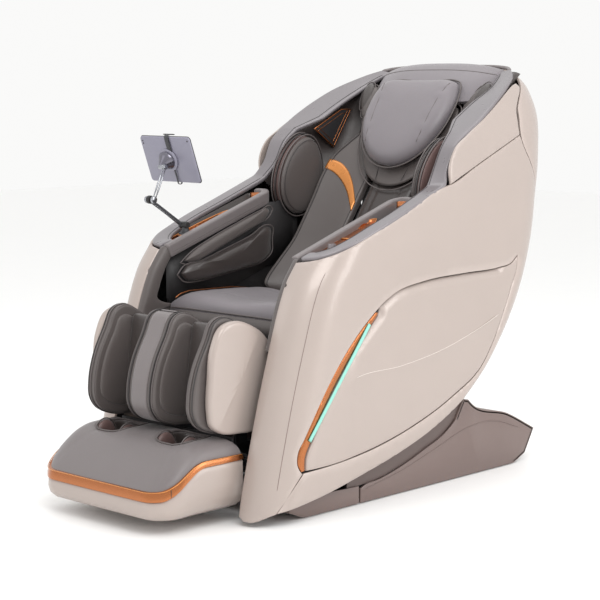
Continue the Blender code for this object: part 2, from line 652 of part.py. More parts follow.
track = [back_block(s * 0.164, s * 0.186, 0.0, 0.640, 0.100, 0.125) for s in (-1, 1)]
track += [back_block(-0.175, 0.175, t, t + 0.018, 0.1010, 0.124) for t in (0.002, 0.618)]
fuse("track_frame", track, STEEL)
massage = [back_block(-0.150, 0.150, 0.060, 0.160, 0.102, 0.140)]
massage += [back_block(s * 0.054, s * 0.060, 0.090, 0.120, 0.085, 0.105) for s in (-1, 1)]
fuse("massage_carriage", massage, DARK)
for word, side in SIDES:
    lower = along_back(0.100, 0.0930)
    upper = along_back(0.140, 0.0720)
    bar = [along_back(0.092, 0.0990), along_back(0.148, 0.0740), along_back(0.144, 0.0640)]
    bar += [along_back(0.092, 0.0870)]
    pin = rod((side * 0.068, upper[0], upper[1]), (side * 0.098, upper[0], upper[1]), 0.004, 12)
    fuse("massage_arm_" + word, [mirrored(prism(bar, 0.0625, 0.0705, "x"), side), pin], STEEL)
    wheel = rod((side * 0.0725, upper[0], upper[1]), (side * 0.0955, upper[0], upper[1]), 0.030, 28)
    hole = rod((side * 0.060, upper[0], upper[1]), (side * 0.110, upper[0], upper[1]), 0.0048, 12)
    fuse("massage_roller_" + word, [wheel], DARK, [hole])

# ---- Leg rest -----------------------------------------------------------------------------
slide = Vector((0.0, -0.237, -0.971)).normalized()
stringer = [(-0.351, 0.482), (-0.330, 0.482), (-0.325, 0.458), (-0.384, 0.300)]
stringer += [(-0.412, 0.212), (-0.426, 0.212), (-0.404, 0.330)]
leg = [rod((-0.1785, LEG_Y, LEG_Z), (0.1785, LEG_Y, LEG_Z), 0.0105, 20)]
leg.append(rod((-0.195, LEG_Y, LEG_Z), (0.195, LEG_Y, LEG_Z), 0.0102, 20))
for s in (-1, 1):
    leg.append(prism(stringer, s * 0.142, s * 0.158, "x"))
leg.append(prism([(-0.404, 0.262), (-0.384, 0.262), (-0.378, 0.280), (-0.398, 0.280)],
                 -0.150, 0.150, "x"))
leg.append(prism([(-0.346, 0.440), (-0.332, 0.440), (-0.332, 0.455), (-0.346, 0.455)],
                 -0.150, 0.150, "x"))
crank = [(-0.342, 0.478), (-0.328, 0.478), (-0.296, 0.424), (-0.304, 0.414), (-0.318, 0.420)]
for s in (-1, 1):
    leg.append(prism(crank, s * 0.024, s * 0.030, "x"))
guides = []
for s in (-1, 1):
    low = Vector((s * 0.100, -0.440, 0.160))
    guides.append(rod(low - slide * -0.02, low - slide * 0.232, 0.010, 16))
fuse("leg_frame", leg, STEEL, guides)

calf = [(-0.470, 0.552), (-0.500, 0.544), (-0.530, 0.493), (-0.568, 0.420), (-0.586, 0.345)]
calf += [(-0.585, 0.305), (-0.565, 0.272), (-0.520, 0.250), (-0.436, 0.238), (-0.411, 0.360)]
calf += [(-0.359, 0.498), (-0.407, 0.523), (-0.440, 0.543)]
channel = [(-0.440, 0.600), (-0.452, 0.520), (-0.470, 0.400), (-0.478, 0.300), (-0.470, 0.200)]
channel += [(-0.700, 0.200), (-0.700, 0.600)]
calf_cuts = [prism(channel, s * 0.062, s * 0.184, "x") for s in (-1, 1)]
fuse("calf_rest", [prism(calf, -CALF_HALF, CALF_HALF, "x")], GRAY, calf_cuts)
shell_outline = inset(calf, 0.012)
for word, side in SIDES:
    outer = prism(shell_outline, 0.2195, 0.2515, "x")
    make("calf_shell_" + word, *mirrored(outer, side), BEIGE, bevel=0.010)

# ---- Footrest --------------------------------------------------------------------------------
tub = [(-0.650, 0.035), (-0.470, 0.035), (-0.445, 0.060), (-0.442, 0.165), (-0.600, 0.165)]
tub += [(-0.700, 0.100), (-0.738, 0.0885), (-0.744, 0.070), (-0.715, 0.048)]
trim = [(-0.739, 0.0905), (-0.701, 0.1020), (-0.601, 0.1670), (-0.446, 0.1670)]
trim += [(-0.446, 0.198), (-0.602, 0.202), (-0.705, 0.136), (-0.735, 0.126)]
trim_cut = [(-0.696, 0.050), (-0.420, 0.050), (-0.420, 0.300), (-0.696, 0.300)]
pad = [(-0.694, 0.110), (-0.694, 0.146), (-0.612, 0.222), (-0.560, 0.232), (-0.456, 0.232)]
pad += [(-0.446, 0.215), (-0.446, 0.168), (-0.600, 0.168)]


wells = [block(s * 0.065, s * 0.185, -0.600, -0.478, 0.095, 0.300) for s in (-1, 1)]


def corner_cuts(half, front, radius):
    """Cutters that round the two front corners in plan."""
    made = []
    for s in (-1, 1):
        outline = [(s * (half + 0.05), front - 0.05), (s * (half + 0.05), front + radius)]
        for i in range(7):
            a = math.radians(15 * i)
            x = half - radius + radius * math.cos(a)
            outline.append((s * x, front + radius - radius * math.sin(a)))
        outline.append((s * (half - radius), front - 0.05))
        made.append(prism(outline, 0.0, 0.30, "z"))
    return made


rods = []
for s in (-1, 1):
    low = Vector((s * 0.100, -0.4415, 0.150))
    rods.append(rod(low, low - slide * 0.235, 0.0075, 14))
    rods.append(block(s * 0.085, s * 0.115, -0.452, -0.430, 0.120, 0.160))
fuse("footrest_shell", [prism(tub, -FOOT_HALF, FOOT_HALF, "x")] + rods, BEIGE,
     wells + corner_cuts(FOOT_HALF, -0.744, 0.080))
inner_cut = prism(trim_cut, -0.238, 0.238, "x")
fuse("footrest_trim", [prism(trim, -FOOT_HALF, FOOT_HALF, "x")], COPPER,
     [inner_cut] + corner_cuts(FOOT_HALF, -0.744, 0.080))
fuse("footrest_pad", [prism(pad, -0.236, 0.236, "x")], GRAY,
     wells + corner_cuts(0.237, -0.700, 0.060))

# ---- Leg actuator: tube hung on the seat frame, rod to the leg crank ----------------------------
tail = Vector((0.0, 0.105, 0.222))
eye = Vector((0.0, -0.305, 0.421))
line = (eye - tail).normalized()
tube = [rod(tail + line * 0.018, tail + line * 0.235, 0.016, 20)]
tube.append(rod(tail + Vector((-0.014, 0, 0)), tail + Vector((0.014, 0, 0)), 0.020, 20))
tube_cuts = [rod(tail + Vector((-0.05, 0, 0)), tail + Vector((0.05, 0, 0)), 0.0112, 20)]
tube_cuts.append(rod(tail + line * 0.060, tail + line * 0.300, 0.0098, 16))
fuse("leg_actuator_tube", tube, STEEL, tube_cuts)
piston = [rod(tail + line * 0.075, eye - line * 0.008, 0.0088, 16)]
piston.append(rod(eye + Vector((-0.012, 0, 0)), eye + Vector((0.012, 0, 0)), 0.012, 16))
fuse("leg_actuator_rod", piston, STEEL)

# ---- Tablet arm on the right armrest, control knob on the left -----------------------------------
POST = Vector((-0.297, -0.138, arm_top(-0.138) - 0.0203))
SHOULDER = POST + Vector((0, 0, 0.034))
ELBOW = Vector((-0.330, -0.248, 0.830))
BALL = Vector((-0.330, -0.200, 0.935))
foot = [rod(POST + Vector((0, 0, 0.004)), POST + Vector((0, 0, 0.018)), 0.021, 24, 0.017)]
foot.append(rod(POST + Vector((0, 0, 0.010)), SHOULDER, 0.009, 16))
foot.append(rod(SHOULDER + Vector((-0.010, 0, 0)), SHOULDER + Vector((0.010, 0, 0)), 0.010, 16))
fuse("tablet_arm_base", foot, STEEL)
low_end = SHOULDER + Vector((-0.016, 0, 0))
link = [rod(low_end + Vector((-0.005, 0, 0)), low_end + Vector((0.005, 0, 0)), 0.010, 16)]
link.append(rod(low_end, ELBOW + Vector((0.002, 0, 0)), 0.005, 12))
link.append(rod(ELBOW + Vector((-0.007, 0, 0)), ELBOW + Vector((0.007, 0, 0)), 0.012, 16))
fuse("tablet_lower_link", link, STEEL)
start = ELBOW + Vector((0.0165, 0, 0))
stop = BALL + Vector((0.0175, -0.004, -0.010))
link = [rod(start + Vector((-0.0052, 0, 0)), start + Vector((0.005, 0, 0)), 0.010, 16)]
link.append(rod(start, stop, 0.0045, 12))
link.append(rod(stop + Vector((-0.004, 0, 0)), stop + Vector((0.004, 0, 0)), 0.008, 16))
fuse("tablet_upper_link", link, STEEL)
LEANING = math.radians(20)
FACE = Vector((0, math.cos(LEANING), math.sin(LEANING)))
UPWARD = Vector((0, -math.sin(LEANING), math.cos(LEANING)))
SHEET = BALL + Vector((0.004, 0, 0)) + FACE * 0.030


def tablet_block(x0, x1, up0, up1, near, far):
    corners = []
    for up, deep in ((up0, near), (up1, near), (up1, far), (up0, far)):
        point = SHEET + UPWARD * up + FACE * deep
        corners.append((point.y, point.z))
    return prism(corners, SHEET.x + x0, SHEET.x + x1, "x")


ball_pin = [rod(stop + Vector((-0.024, 0, 0)), stop + Vector((-0.0055, 0, 0)), 0.008, 16)]
ball_pin.append(rod(stop + Vector((-0.0175, 0, 0)), BALL + FACE * 0.022, 0.007, 16, 0.024))
ball_pin.append(tablet_block(-0.016, 0.016, -0.076, 0.060, -0.009, -0.005))
ball_pin.append(tablet_block(-0.016, 0.016, -0.080, -0.0745, -0.009, 0.012))
fuse("tablet_clamp", ball_pin, STEEL)
jaw = [tablet_block(-0.012, 0.012, 0.020, 0.079, -0.0045, -0.0015)]
jaw.append(tablet_block(-0.026, 0.026, 0.0735, 0.079, -0.0045, 0.012))
fuse("tablet_jaw", jaw, STEEL)
slate = tablet_block(-0.108, 0.108, -0.072, 0.072, 0.0, 0.008)
make("tablet", *slate, ((0.40, 0.40, 0.46), 0.35, 0.6), bevel=0.002)
KNOB = Vector((0.297, -0.138, arm_top(-0.138) - 0.0235))
make("control_knob", *rod(KNOB + Vector((0, 0, 0.005)), KNOB + Vector((0, 0, 0.019)), 0.013, 28, 0.011),
     RAIL)
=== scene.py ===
# Looks of the reclining massage chair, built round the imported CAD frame.
import json
import math

import bmesh
import bpy
import numpy as np
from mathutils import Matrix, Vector
from mathutils import geometry


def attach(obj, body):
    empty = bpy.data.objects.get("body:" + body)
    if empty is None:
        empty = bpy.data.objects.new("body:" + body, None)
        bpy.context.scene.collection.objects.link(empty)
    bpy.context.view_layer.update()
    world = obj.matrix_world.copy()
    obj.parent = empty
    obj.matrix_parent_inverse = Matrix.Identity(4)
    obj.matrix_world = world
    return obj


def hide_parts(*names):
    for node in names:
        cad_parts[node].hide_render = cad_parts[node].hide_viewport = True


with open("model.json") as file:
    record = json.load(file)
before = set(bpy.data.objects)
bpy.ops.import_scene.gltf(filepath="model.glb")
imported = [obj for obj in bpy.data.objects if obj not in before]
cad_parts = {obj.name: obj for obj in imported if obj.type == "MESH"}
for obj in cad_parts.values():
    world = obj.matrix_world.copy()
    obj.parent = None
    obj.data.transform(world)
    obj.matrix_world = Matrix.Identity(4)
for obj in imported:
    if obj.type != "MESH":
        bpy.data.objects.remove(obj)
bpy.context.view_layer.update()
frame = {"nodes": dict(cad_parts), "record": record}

SIDES = (("left", 1), ("right", -1))
SHELL_WALL = 0.008
BLUNT_END = 0.35
FULL_TURN = 6.283
GROUND_GAP = 0.003

# ---- Shape of the shell, the same tables as the CAD ------------------------------------
ROLL_WIDTH = 0.113
ROLL_DEPTH = 0.130
ROLL_POWER = 2.3
FRONT_EDGE = [(0.004, -0.486), (0.030, -0.4825), (0.230, -0.436), (0.471, -0.365)]
FRONT_EDGE += [(0.625, -0.308), (0.701, -0.254), (0.800, -0.190)]
REAR_FACE = [(0.255, 0.374), (0.329, 0.471), (0.435, 0.575), (0.534, 0.651)]
REAR_FACE += [(0.636, 0.715), (0.727, 0.760), (0.843, 0.776), (0.936, 0.788)]
REAR_FACE += [(1.040, 0.789), (1.121, 0.779), (1.173, 0.769), (1.215, 0.750)]
SIDE_HALF = [(0.0, 0.390), (1.000, 0.390), (1.060, 0.386), (1.110, 0.374)]
SIDE_HALF += [(1.156, 0.348), (1.196, 0.306), (1.215, 0.285)]
CORNER = [(0.255, 0.040), (0.329, 0.050), (0.435, 0.070), (0.534, 0.090)]
CORNER += [(0.636, 0.120), (0.727, 0.150), (1.040, 0.155), (1.121, 0.150)]
CORNER += [(1.173, 0.130), (1.215, 0.110)]
GROOVE_LINE = [(0.321, 0.450), (0.435, 0.558), (0.534, 0.629), (0.636, 0.686)]
GROOVE_LINE += [(0.727, 0.722), (0.820, 0.722), (0.880, 0.692), (0.930, 0.652)]
GROOVE_LINE += [(1.017, 0.597), (1.050, 0.593), (1.090, 0.593), (1.120, 0.611)]
GROOVE_LINE += [(1.150, 0.643), (1.176, 0.678), (1.200, 0.735)]


def curve(rows):
    """Smooth reading of a table: cubic pieces that never overshoot the rows."""
    x = np.array([r[0] for r in rows], float)
    y = np.array([r[1] for r in rows], float)
    gap = np.diff(x)
    slope = np.diff(y) / gap
    tangent = np.zeros(len(x))
    tangent[0] = slope[0]
    tangent[-1] = slope[-1]
    for i in range(1, len(x) - 1):
        if slope[i - 1] * slope[i] > 0:
            tangent[i] = 2 * slope[i - 1] * slope[i] / (slope[i - 1] + slope[i])

    def read(key):
        key = np.clip(np.asarray(key, float), x[0], x[-1])
        i = np.clip(np.searchsorted(x, key, side="right") - 1, 0, len(x) - 2)
        t = (key - x[i]) / gap[i]
        a = (1 + 2 * t) * (1 - t) ** 2 * y[i] + t * (1 - t) ** 2 * gap[i] * tangent[i]
        b = t * t * (3 - 2 * t) * y[i + 1] + t * t * (t - 1) * gap[i] * tangent[i + 1]
        return a + b

    return read


front_at = curve(FRONT_EDGE)
rear_at = curve(REAR_FACE)
half_at = curve(SIDE_HALF)
corner_at = curve(CORNER)
groove_at = curve(GROOVE_LINE)


def shell(w, z):
    """Outer surface of the shell; w is Y on the flat side and arc length behind it."""
    w = np.asarray(w, float)
    z = np.asarray(z, float)
    half = half_at(z)
    away = np.clip((ROLL_DEPTH - (w - front_at(z))) / ROLL_DEPTH, 0, 1)
    roll = (1 - away ** ROLL_POWER) ** (1 / ROLL_POWER)
    radius = corner_at(z)
    start = rear_at(z) - radius
    angle = np.clip((w - start) / radius, 0, math.pi / 2)
    x = half - ROLL_WIDTH * (1 - roll) - radius * (1 - np.cos(angle))
    y = np.where(w > start, start + radius * np.sin(angle), w)
    return np.stack([x, y, z], -1)


def to_sheet(w, z):
    """Even measure across the rolled front edge, where w itself runs too fast."""
    front = front_at(z)
    away = np.clip((ROLL_DEPTH - (w - front)) / ROLL_DEPTH, 0, 1)
    away = np.where(w - front < 0.00004, 1.0, away)
    turn = np.arccos(away ** (ROLL_POWER / 2)) * 2 / math.pi
    return np.where(w < front + ROLL_DEPTH, front + ROLL_DEPTH * turn, w)


def from_sheet(q, z):
    front = front_at(z)
    turn = np.clip((q - front) / ROLL_DEPTH, 0, 1) * math.pi / 2
    rolled = front + ROLL_DEPTH * (1 - np.cos(turn) ** (2 / ROLL_POWER))
    return np.where(q < front + ROLL_DEPTH, rolled, q)


def shell_normal(w, z):
    step = 0.0015
    q = np.maximum(to_sheet(w, z), front_at(z) + step * 1.01)
    along = shell(from_sheet(q + step, z), z) - shell(from_sheet(q - step, z), z)
    up = shell(from_sheet(q, z + step), z + step) - shell(from_sheet(q, z - step), z - step)
    normal = np.cross(along, up)
    return normal / np.linalg.norm(normal, axis=-1, keepdims=True)


# ---- Mesh helpers ----------------------------------------------------------------------
def mirror(points, side):
    return np.asarray(points, float) * np.array([side, 1, 1])


def build(name, verts, faces, paint, body, subdivide=0, sharp=None):
    """One piece from points and faces, riding a body, in one material."""
    mesh = bpy.data.meshes.new(name)
    bm = bmesh.new()
    points = [bm.verts.new(tuple(float(c) for c in v)) for v in verts]
    for face in faces:
        if len(set(face)) > 2:
            try:
                bm.faces.new([points[i] for i in face])
            except ValueError:
                continue
    loose = [v for v in bm.verts if not v.link_faces]
    bmesh.ops.delete(bm, geom=loose, context="VERTS")
    bmesh.ops.recalc_face_normals(bm, faces=bm.faces)
    for face in bm.faces:
        face.smooth = True
    if sharp:
        for edge in bm.edges:
            if len(edge.link_faces) == 2 and edge.calc_face_angle(0) > math.radians(sharp):
                edge.smooth = False
    bm.to_mesh(mesh)
    bm.free()
    piece = bpy.data.objects.new(name, mesh)
    bpy.context.scene.collection.objects.link(piece)
    mesh.materials.append(paint)
    if subdivide:
        finer = piece.modifiers.new("smooth", "SUBSURF")
        finer.levels = subdivide
        finer.render_levels = subdivide
    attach(piece, body)
    return piece


def spline(points, step, closed=True, sharp=42):
    """Points on a smooth curve through the given ones; corners sharper than an angle stay."""
    p = [np.array(q, float) for q in points]
    count = len(p)
    tangents = []
    for i in range(count):
        if not closed and i in (0, count - 1):
            tangents.append((None, None))
            continue
        back = p[i] - p[i - 1]
        ahead = p[(i + 1) % count] - p[i]
        lb = np.linalg.norm(back)
        la = np.linalg.norm(ahead)
        turn = math.degrees(math.acos(max(-1, min(1, float(back @ ahead) / (lb * la + 1e-12)))))
        if turn > sharp:
            tangents.append((None, None))
        else:
            way = back / lb * la + ahead / la * lb
            way = way / (np.linalg.norm(way) + 1e-12)
            tangents.append((way, way))
    made = []
    for i in range(count if closed else count - 1):
        a = p[i]
        b = p[(i + 1) % count]
        length = np.linalg.norm(b - a)
        ta = tangents[i][1]
        tb = tangents[(i + 1) % count][0]
        ta = (b - a) if ta is None else ta * length
        tb = (b - a) if tb is None else tb * length
        parts = max(1, int(math.ceil(length / step)))
        for k in range(parts):
            t = k / parts
            h = (2 * t ** 3 - 3 * t * t + 1, t ** 3 - 2 * t * t + t,
                 -2 * t ** 3 + 3 * t * t, t ** 3 - t * t)
            made.append(h[0] * a + h[1] * ta + h[2] * b + h[3] * tb)
    if not closed:
        made.append(p[-1])
    return np.array(made)


def inside(points, outline):
    hit = np.zeros(len(points), bool)
    x = points[:, 0]
    y = points[:, 1]
    for a, b in zip(outline, np.roll(outline, -1, axis=0)):
        if a[1] == b[1]:
            continue
        crosses = (a[1] > y) != (b[1] > y)
        hit ^= crosses & (x < a[0] + (b[0] - a[0]) * (y - a[1]) / (b[1] - a[1]))
    return hit


def distance(points, line, closed=True):
    """Least distance from each point to a line of points."""
    best = np.full(len(points), 1e9)
    ends = np.roll(line, -1, axis=0)
    if not closed:
        ends = line[1:]
        line = line[:-1]
    for a, b in zip(line, ends):
        d = b - a
        t = np.clip(((points - a) @ d) / max(d @ d, 1e-14), 0, 1)
        best = np.minimum(best, np.linalg.norm(points - (a + t[:, None] * d), axis=1))
    return best


def inset(outline, gap):
    """The outline moved inward by a gap."""
    ahead = np.roll(outline, -1, axis=0)
    area = np.sum(outline[:, 0] * ahead[:, 1] - ahead[:, 0] * outline[:, 1])
    turn = 1.0 if area > 0 else -1.0
    step1 = outline - np.roll(outline, 1, axis=0)
    step2 = ahead - outline
    step1 /= np.linalg.norm(step1, axis=1, keepdims=True) + 1e-12
    step2 /= np.linalg.norm(step2, axis=1, keepdims=True) + 1e-12
    n1 = np.stack([-step1[:, 1], step1[:, 0]], 1) * turn
    n2 = np.stack([-step2[:, 1], step2[:, 0]], 1) * turn
    middle = n1 + n2
    middle /= np.linalg.norm(middle, axis=1, keepdims=True) + 1e-12
    reach = gap / np.maximum(0.5, np.sum(middle * n1, axis=1))
    return outline + middle * reach[:, None]


def two_faces(triangles, size):
    """The faces of a sheet, the same ones turned over on its other side, and its rim."""
    faces = []
    used = set()
    for face in triangles:
        faces.append(list(face))
        faces.append([size + i for i in reversed(face)])
        used.update(zip(face, face[1:] + face[:1]))
    for a, b in used:
        if (b, a) not in used:
            faces.append([b, a, size + a, size + b])
    return faces


def panel(name, outline, side, paint, node, wall=0.006, rim=0.0026, relief=None, extra=(),
          pitch=0.013):
    """A thin shell panel wrapped on the chair's side, with rounded rims and a relief."""
    outline = np.stack([to_sheet(outline[:, 0], outline[:, 1]), outline[:, 1]], 1)
    extra = [np.stack([to_sheet(line[:, 0], line[:, 1]), line[:, 1]], 1) for line in extra]
    points = [outline]
    for share in (0.35, 1.0):
        ring = inset(outline, rim * share)
        keep = inside(ring, outline) & (distance(ring, outline) > rim * share * 0.8)
        points.append(ring[keep])
    for line in extra:
        keep = inside(line, outline) & (distance(line, outline) > rim * 1.6)
        points.append(line[keep])
    low = outline.min(0)
    high = outline.max(0)
    grid = []
    for z in np.arange(math.ceil(low[1] / pitch) * pitch, high[1], pitch):
        front = float(front_at(z))
        start = float(rear_at(z) - corner_at(z))
        radius = float(corner_at(z))
        columns = [front + ROLL_DEPTH * k for k in np.linspace(0.03, 1.0, 26)]
        columns += list(np.arange(front + ROLL_DEPTH + pitch, start, pitch))
        columns += [start + radius * k for k in np.arange(0.0, 1.55, pitch / radius)]
        grid += [(w, z) for w in columns if low[0] < w < high[0]]
    grid = np.array(grid)
    keep = inside(grid, outline) & (distance(grid, outline) > max(rim * 1.8, 0.0035))
    for line in extra:
        keep &= distance(grid, line, False) > 0.004
    points.append(grid[keep])
    flat = np.concatenate(points)
    count = len(outline)
    edges = [(i, (i + 1) % count) for i in range(count)]
    result = geometry.delaunay_2d_cdt([Vector(p) for p in flat], edges, [], 0, 1e-7)
    flat = np.array([(p.x, p.y) for p in result[0]])
    centres = np.array([flat[list(f)].mean(0) for f in result[2]])
    kept = inside(centres, outline)
    near = np.clip(1 - distance(flat, outline) / rim, 0, 1)
    height = -rim * (1 - np.sqrt(1 - near ** 2))
    flat = np.stack([from_sheet(flat[:, 0], flat[:, 1]), flat[:, 1]], 1)
    if relief:
        height = height + relief(flat)
    normal = shell_normal(flat[:, 0], flat[:, 1])
    top = shell(flat[:, 0], flat[:, 1]) + normal * height[:, None]
    bottom = shell(flat[:, 0], flat[:, 1]) - normal * wall
    verts = np.concatenate([top, bottom]) * np.array([side, 1, 1])
    faces = two_faces([face for face, ok in zip(result[2], kept) if ok], len(flat))
    piece = build(name, verts, faces, paint, "chair", sharp=55)
    if node:
        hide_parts(node)
    return piece


def ring_faces(levels, count):
    """Four-sided faces between rings of equal count."""
    faces = []
    for level in range(levels - 1):
        for i in range(count):
            j = (i + 1) % count
            a = level * count
            faces.append([a + i, a + j, a + count + j, a + count + i])
    return faces


def plate(name, rings, paint, body, side=1):
    """Rings joined by quads, both ends filled by one face each, for hollow outlines."""
    count = len(rings[0])
    verts = np.concatenate([np.array(ring) for ring in rings]) * np.array([side, 1, 1])
    faces = ring_faces(len(rings), count)
    last = (len(rings) - 1) * count
    faces.append(list(range(count))[::-1])
    faces.append([last + i for i in range(count)])
    return build(name, verts, faces, paint, body, sharp=40)


def loft(name, rings, paint, body, caps=True, subdivide=0, sharp=None):
    """Skin through rings of equal count."""
    rings = [np.asarray(r, float) for r in rings]
    count = len(rings[0])
    verts = np.concatenate(rings)
    faces = ring_faces(len(rings), count)
    if caps:
        verts = np.concatenate([verts, [rings[0].mean(0)], [rings[-1].mean(0)]])
        first = len(verts) - 2
        base = (len(rings) - 1) * count
        for i in range(count):
            j = (i + 1) % count
            faces.append([j, i, first])
            faces.append([base + i, base + j, first + 1])
    return build(name, verts, faces, paint, body, subdivide=subdivide, sharp=sharp)


def tube(name, points, radius, paint, body, closed=False, sides=8):
    """A cord of piping, a seam or a bar along a line of points."""
    p = np.asarray(points, float)
    count = len(p)
    if closed:
        way = np.roll(p, -1, axis=0) - np.roll(p, 1, axis=0)
    else:
        way = np.gradient(p, axis=0)
    way /= np.linalg.norm(way, axis=1, keepdims=True) + 1e-12
    u = np.cross(way[0], (0.31, 0.2, 0.93))
    u /= np.linalg.norm(u)
    angles = np.arange(sides) * 2 * math.pi / sides
    rings = []
    for i in range(count):
        u = u - way[i] * (u @ way[i])
        u /= np.linalg.norm(u) + 1e-12
        v = np.cross(way[i], u)
        size = radius
        if not closed and i in (0, count - 1):
            size = radius * BLUNT_END
        rings.append(p[i] + size * (np.cos(angles)[:, None] * u + np.sin(angles)[:, None] * v))
    if closed:
        rings.append(rings[0])
        twist = 0
        best = 1e9
        for k in range(sides):
            gap = np.linalg.norm(np.roll(rings[0], -k, axis=0) - rings[-2])
            if gap < best:
                best = gap
                twist = k
        verts = np.concatenate(rings[:-1])
        faces = ring_faces(count, sides)
        a = (count - 1) * sides
        for i in range(sides):
            j = (i + 1) % sides
            faces.append([a + i, a + j, (j + twist) % sides, (i + twist) % sides])
        return build(name, verts, faces, paint, body)
    return loft(name, rings, paint, body)


# ---- Materials -------------------------------------------------------------------------
def finish(name, colour, rough, metallic=0.0, grain=0.0, size=900.0, vary=0.08, coat=0.0,
           sheen=0.0, wear=0.0, glow=None, cloth=0.0):
    """Procedural finish: mottled colour, uneven roughness, grain, worn edges."""
    paint = bpy.data.materials.new(name)
    paint.use_nodes = True
    link = paint.node_tree.links.new
    shader = paint.node_tree.nodes["Principled BSDF"]

    def node(kind, **values):
        """A new node with some inputs set; an underscore in a key stands for a space."""
        made = paint.node_tree.nodes.new("ShaderNode" + kind)
        for key, value in values.items():
            made.inputs[key.replace("_", " ")].default_value = value
        return made

    where = node("TexCoord").outputs["Object"]
    cloud = node("TexNoise", Scale=7.0, Detail=5.0)
    link(where, cloud.inputs["Vector"])
    tone = node("Mix")
    tone.data_type = "RGBA"
    tone.inputs[6].default_value = (*[c * (1 - vary) for c in colour], 1)
    tone.inputs[7].default_value = (*[min(1.0, c * (1 + vary)) for c in colour], 1)
    link(cloud.outputs["Fac"], tone.inputs[0])
    fine = node("TexNoise", Scale=size * 0.6, Detail=3.0)
    link(where, fine.inputs["Vector"])
    fleck = node("Mix")
    fleck.data_type = "RGBA"
    fleck.blend_type = "OVERLAY"
    fleck.inputs[0].default_value = 0.12 + cloth
    link(tone.outputs[2], fleck.inputs[6])
    link(fine.outputs["Color"], fleck.inputs[7])
    last = fleck.outputs[2]
    if wear:
        about = node("NewGeometry")
        ramp = node("MapRange", From_Min=0.52, From_Max=0.62, To_Max=wear)
        link(about.outputs["Pointiness"], ramp.inputs["Value"])
        edge = node("Mix")
        edge.data_type = "RGBA"
        edge.inputs[7].default_value = (*[min(1.0, c * 1.6 + 0.03) for c in colour], 1)
        link(ramp.outputs["Result"], edge.inputs[0])
        link(last, edge.inputs[6])
        last = edge.outputs[2]
    link(last, shader.inputs["Base Color"])
    rub = node("MapRange", To_Min=max(0.03, rough - 0.07), To_Max=min(1.0, rough + 0.07))
    patch = node("TexNoise", Scale=35.0)
    link(where, patch.inputs["Vector"])
    link(patch.outputs["Fac"], rub.inputs["Value"])
    link(rub.outputs["Result"], shader.inputs["Roughness"])
    for key, value in (("Metallic", metallic), ("Coat Weight", coat), ("Coat Roughness", 0.12),
                       ("Sheen Weight", sheen), ("Sheen Roughness", 0.5)):
        shader.inputs[key].default_value = value
    if grain:
        cell = node("TexVoronoi", Scale=size)
        link(where, cell.inputs["Vector"])
        mixed = node("Math")
        mixed.operation = "ADD"
        link(cell.outputs["Distance"], mixed.inputs[0])
        link(fine.outputs["Fac"], mixed.inputs[1])
        bump = node("Bump", Strength=grain, Distance=0.0004)
        link(mixed.outputs[0], bump.inputs["Height"])
        link(bump.outputs["Normal"], shader.inputs["Normal"])
    if glow:
        shader.inputs["Emission Color"].default_value = (*glow[0], 1)
        shader.inputs["Emission Strength"].default_value = glow[1]
    return paint


def rgb(code):
    """Linear colour of a six-digit screen colour."""
    made = []
    for i in (0, 2, 4):
        c = int(code[i:i + 2], 16) / 255
        made.append(c / 12.92 if c <= 0.04045 else ((c + 0.055) / 1.055) ** 2.4)
    return tuple(made)


beige = finish("beige_paint", rgb("ADA099"), 0.36, 0.15, grain=0.05, size=2600, vary=0.03,
               coat=0.35, wear=0.25)
# Pale beige used only for the thin cord on the leaf's fold: a painted highlight along the crease.
beige_painted_highlight = finish("painted_highlight_beige", rgb("DCD2CA"), 0.30, 0.1, grain=0.08, size=1800, vary=0.03,
                     coat=0.2, wear=0.3)
leather_mid = finish("mid_leather", rgb("716A6A"), 0.40, grain=0.35, size=850, vary=0.06,
                     sheen=0.15, wear=0.3)
leather = finish("gray_leather", rgb("57504E"), 0.42, grain=0.35, size=850, vary=0.08,
                 sheen=0.15, wear=0.3)
leather_dark = finish("dark_leather", rgb("3B3432"), 0.31, coat=0.15, grain=0.35, size=850, vary=0.08,
                      sheen=0.12, wear=0.3)
leather_pale = finish("pale_leather", rgb("7C767A"), 0.38, grain=0.3, size=850, vary=0.06,
                      sheen=0.15, wear=0.3)
leather_mauve = finish("mauve_leather", rgb("66504D"), 0.40, grain=0.35, size=850, vary=0.08,
                       sheen=0.12, wear=0.3)
piping = finish("piping_leather", rgb("585150"), 0.4, grain=0.3, size=1100, vary=0.06, wear=0.4)
piping_dark = finish("dark_piping", rgb("2E2A2A"), 0.45, grain=0.3, size=1100, vary=0.06,
                     wear=0.4)
trim_gray = finish("trim_gray", rgb("7D787B"), 0.30, 0.15, grain=0.1, size=1800, vary=0.05,
                   coat=0.2, wear=0.3)
mauve = finish("mauve_plastic", rgb("6F5E59"), 0.4, grain=0.15, size=1500, vary=0.05,
               coat=0.15, wear=0.3)
copper = finish("copper_trim", rgb("A8663A"), 0.24, 0.9, grain=0.03, size=2200, vary=0.08,
                coat=0.3, wear=0.5)
gold = finish("gold_line", rgb("C47E3E"), 0.28, 0.6, grain=0.02, size=2200, vary=0.06,
              coat=0.3, wear=0.5)
led = finish("led_light", rgb("86C6B8"), 0.3, grain=0.02, size=700, vary=0.04,
             glow=(rgb("7FCDBC"), 0.14))
black = finish("black_plastic", rgb("1E1C1D"), 0.5, grain=0.25, size=1400, vary=0.15, wear=0.5)
mesh_black = finish("speaker_cloth", rgb("262426"), 0.7, grain=0.9, size=420, vary=0.15,
                    cloth=0.2)
steel_painted = finish("painted_steel", rgb("3A3A3D"), 0.45, 0.3, grain=0.2, size=900,
                       vary=0.1, wear=0.5)
steel_dark = finish("dark_steel", rgb("77757F"), 0.22, 0.9, grain=0.05, size=1500, vary=0.08,
                    wear=0.4)
steel_bright = finish("bright_steel", rgb("9C9EA3"), 0.24, 0.95, grain=0.05, size=1500,
                      vary=0.08, wear=0.4)
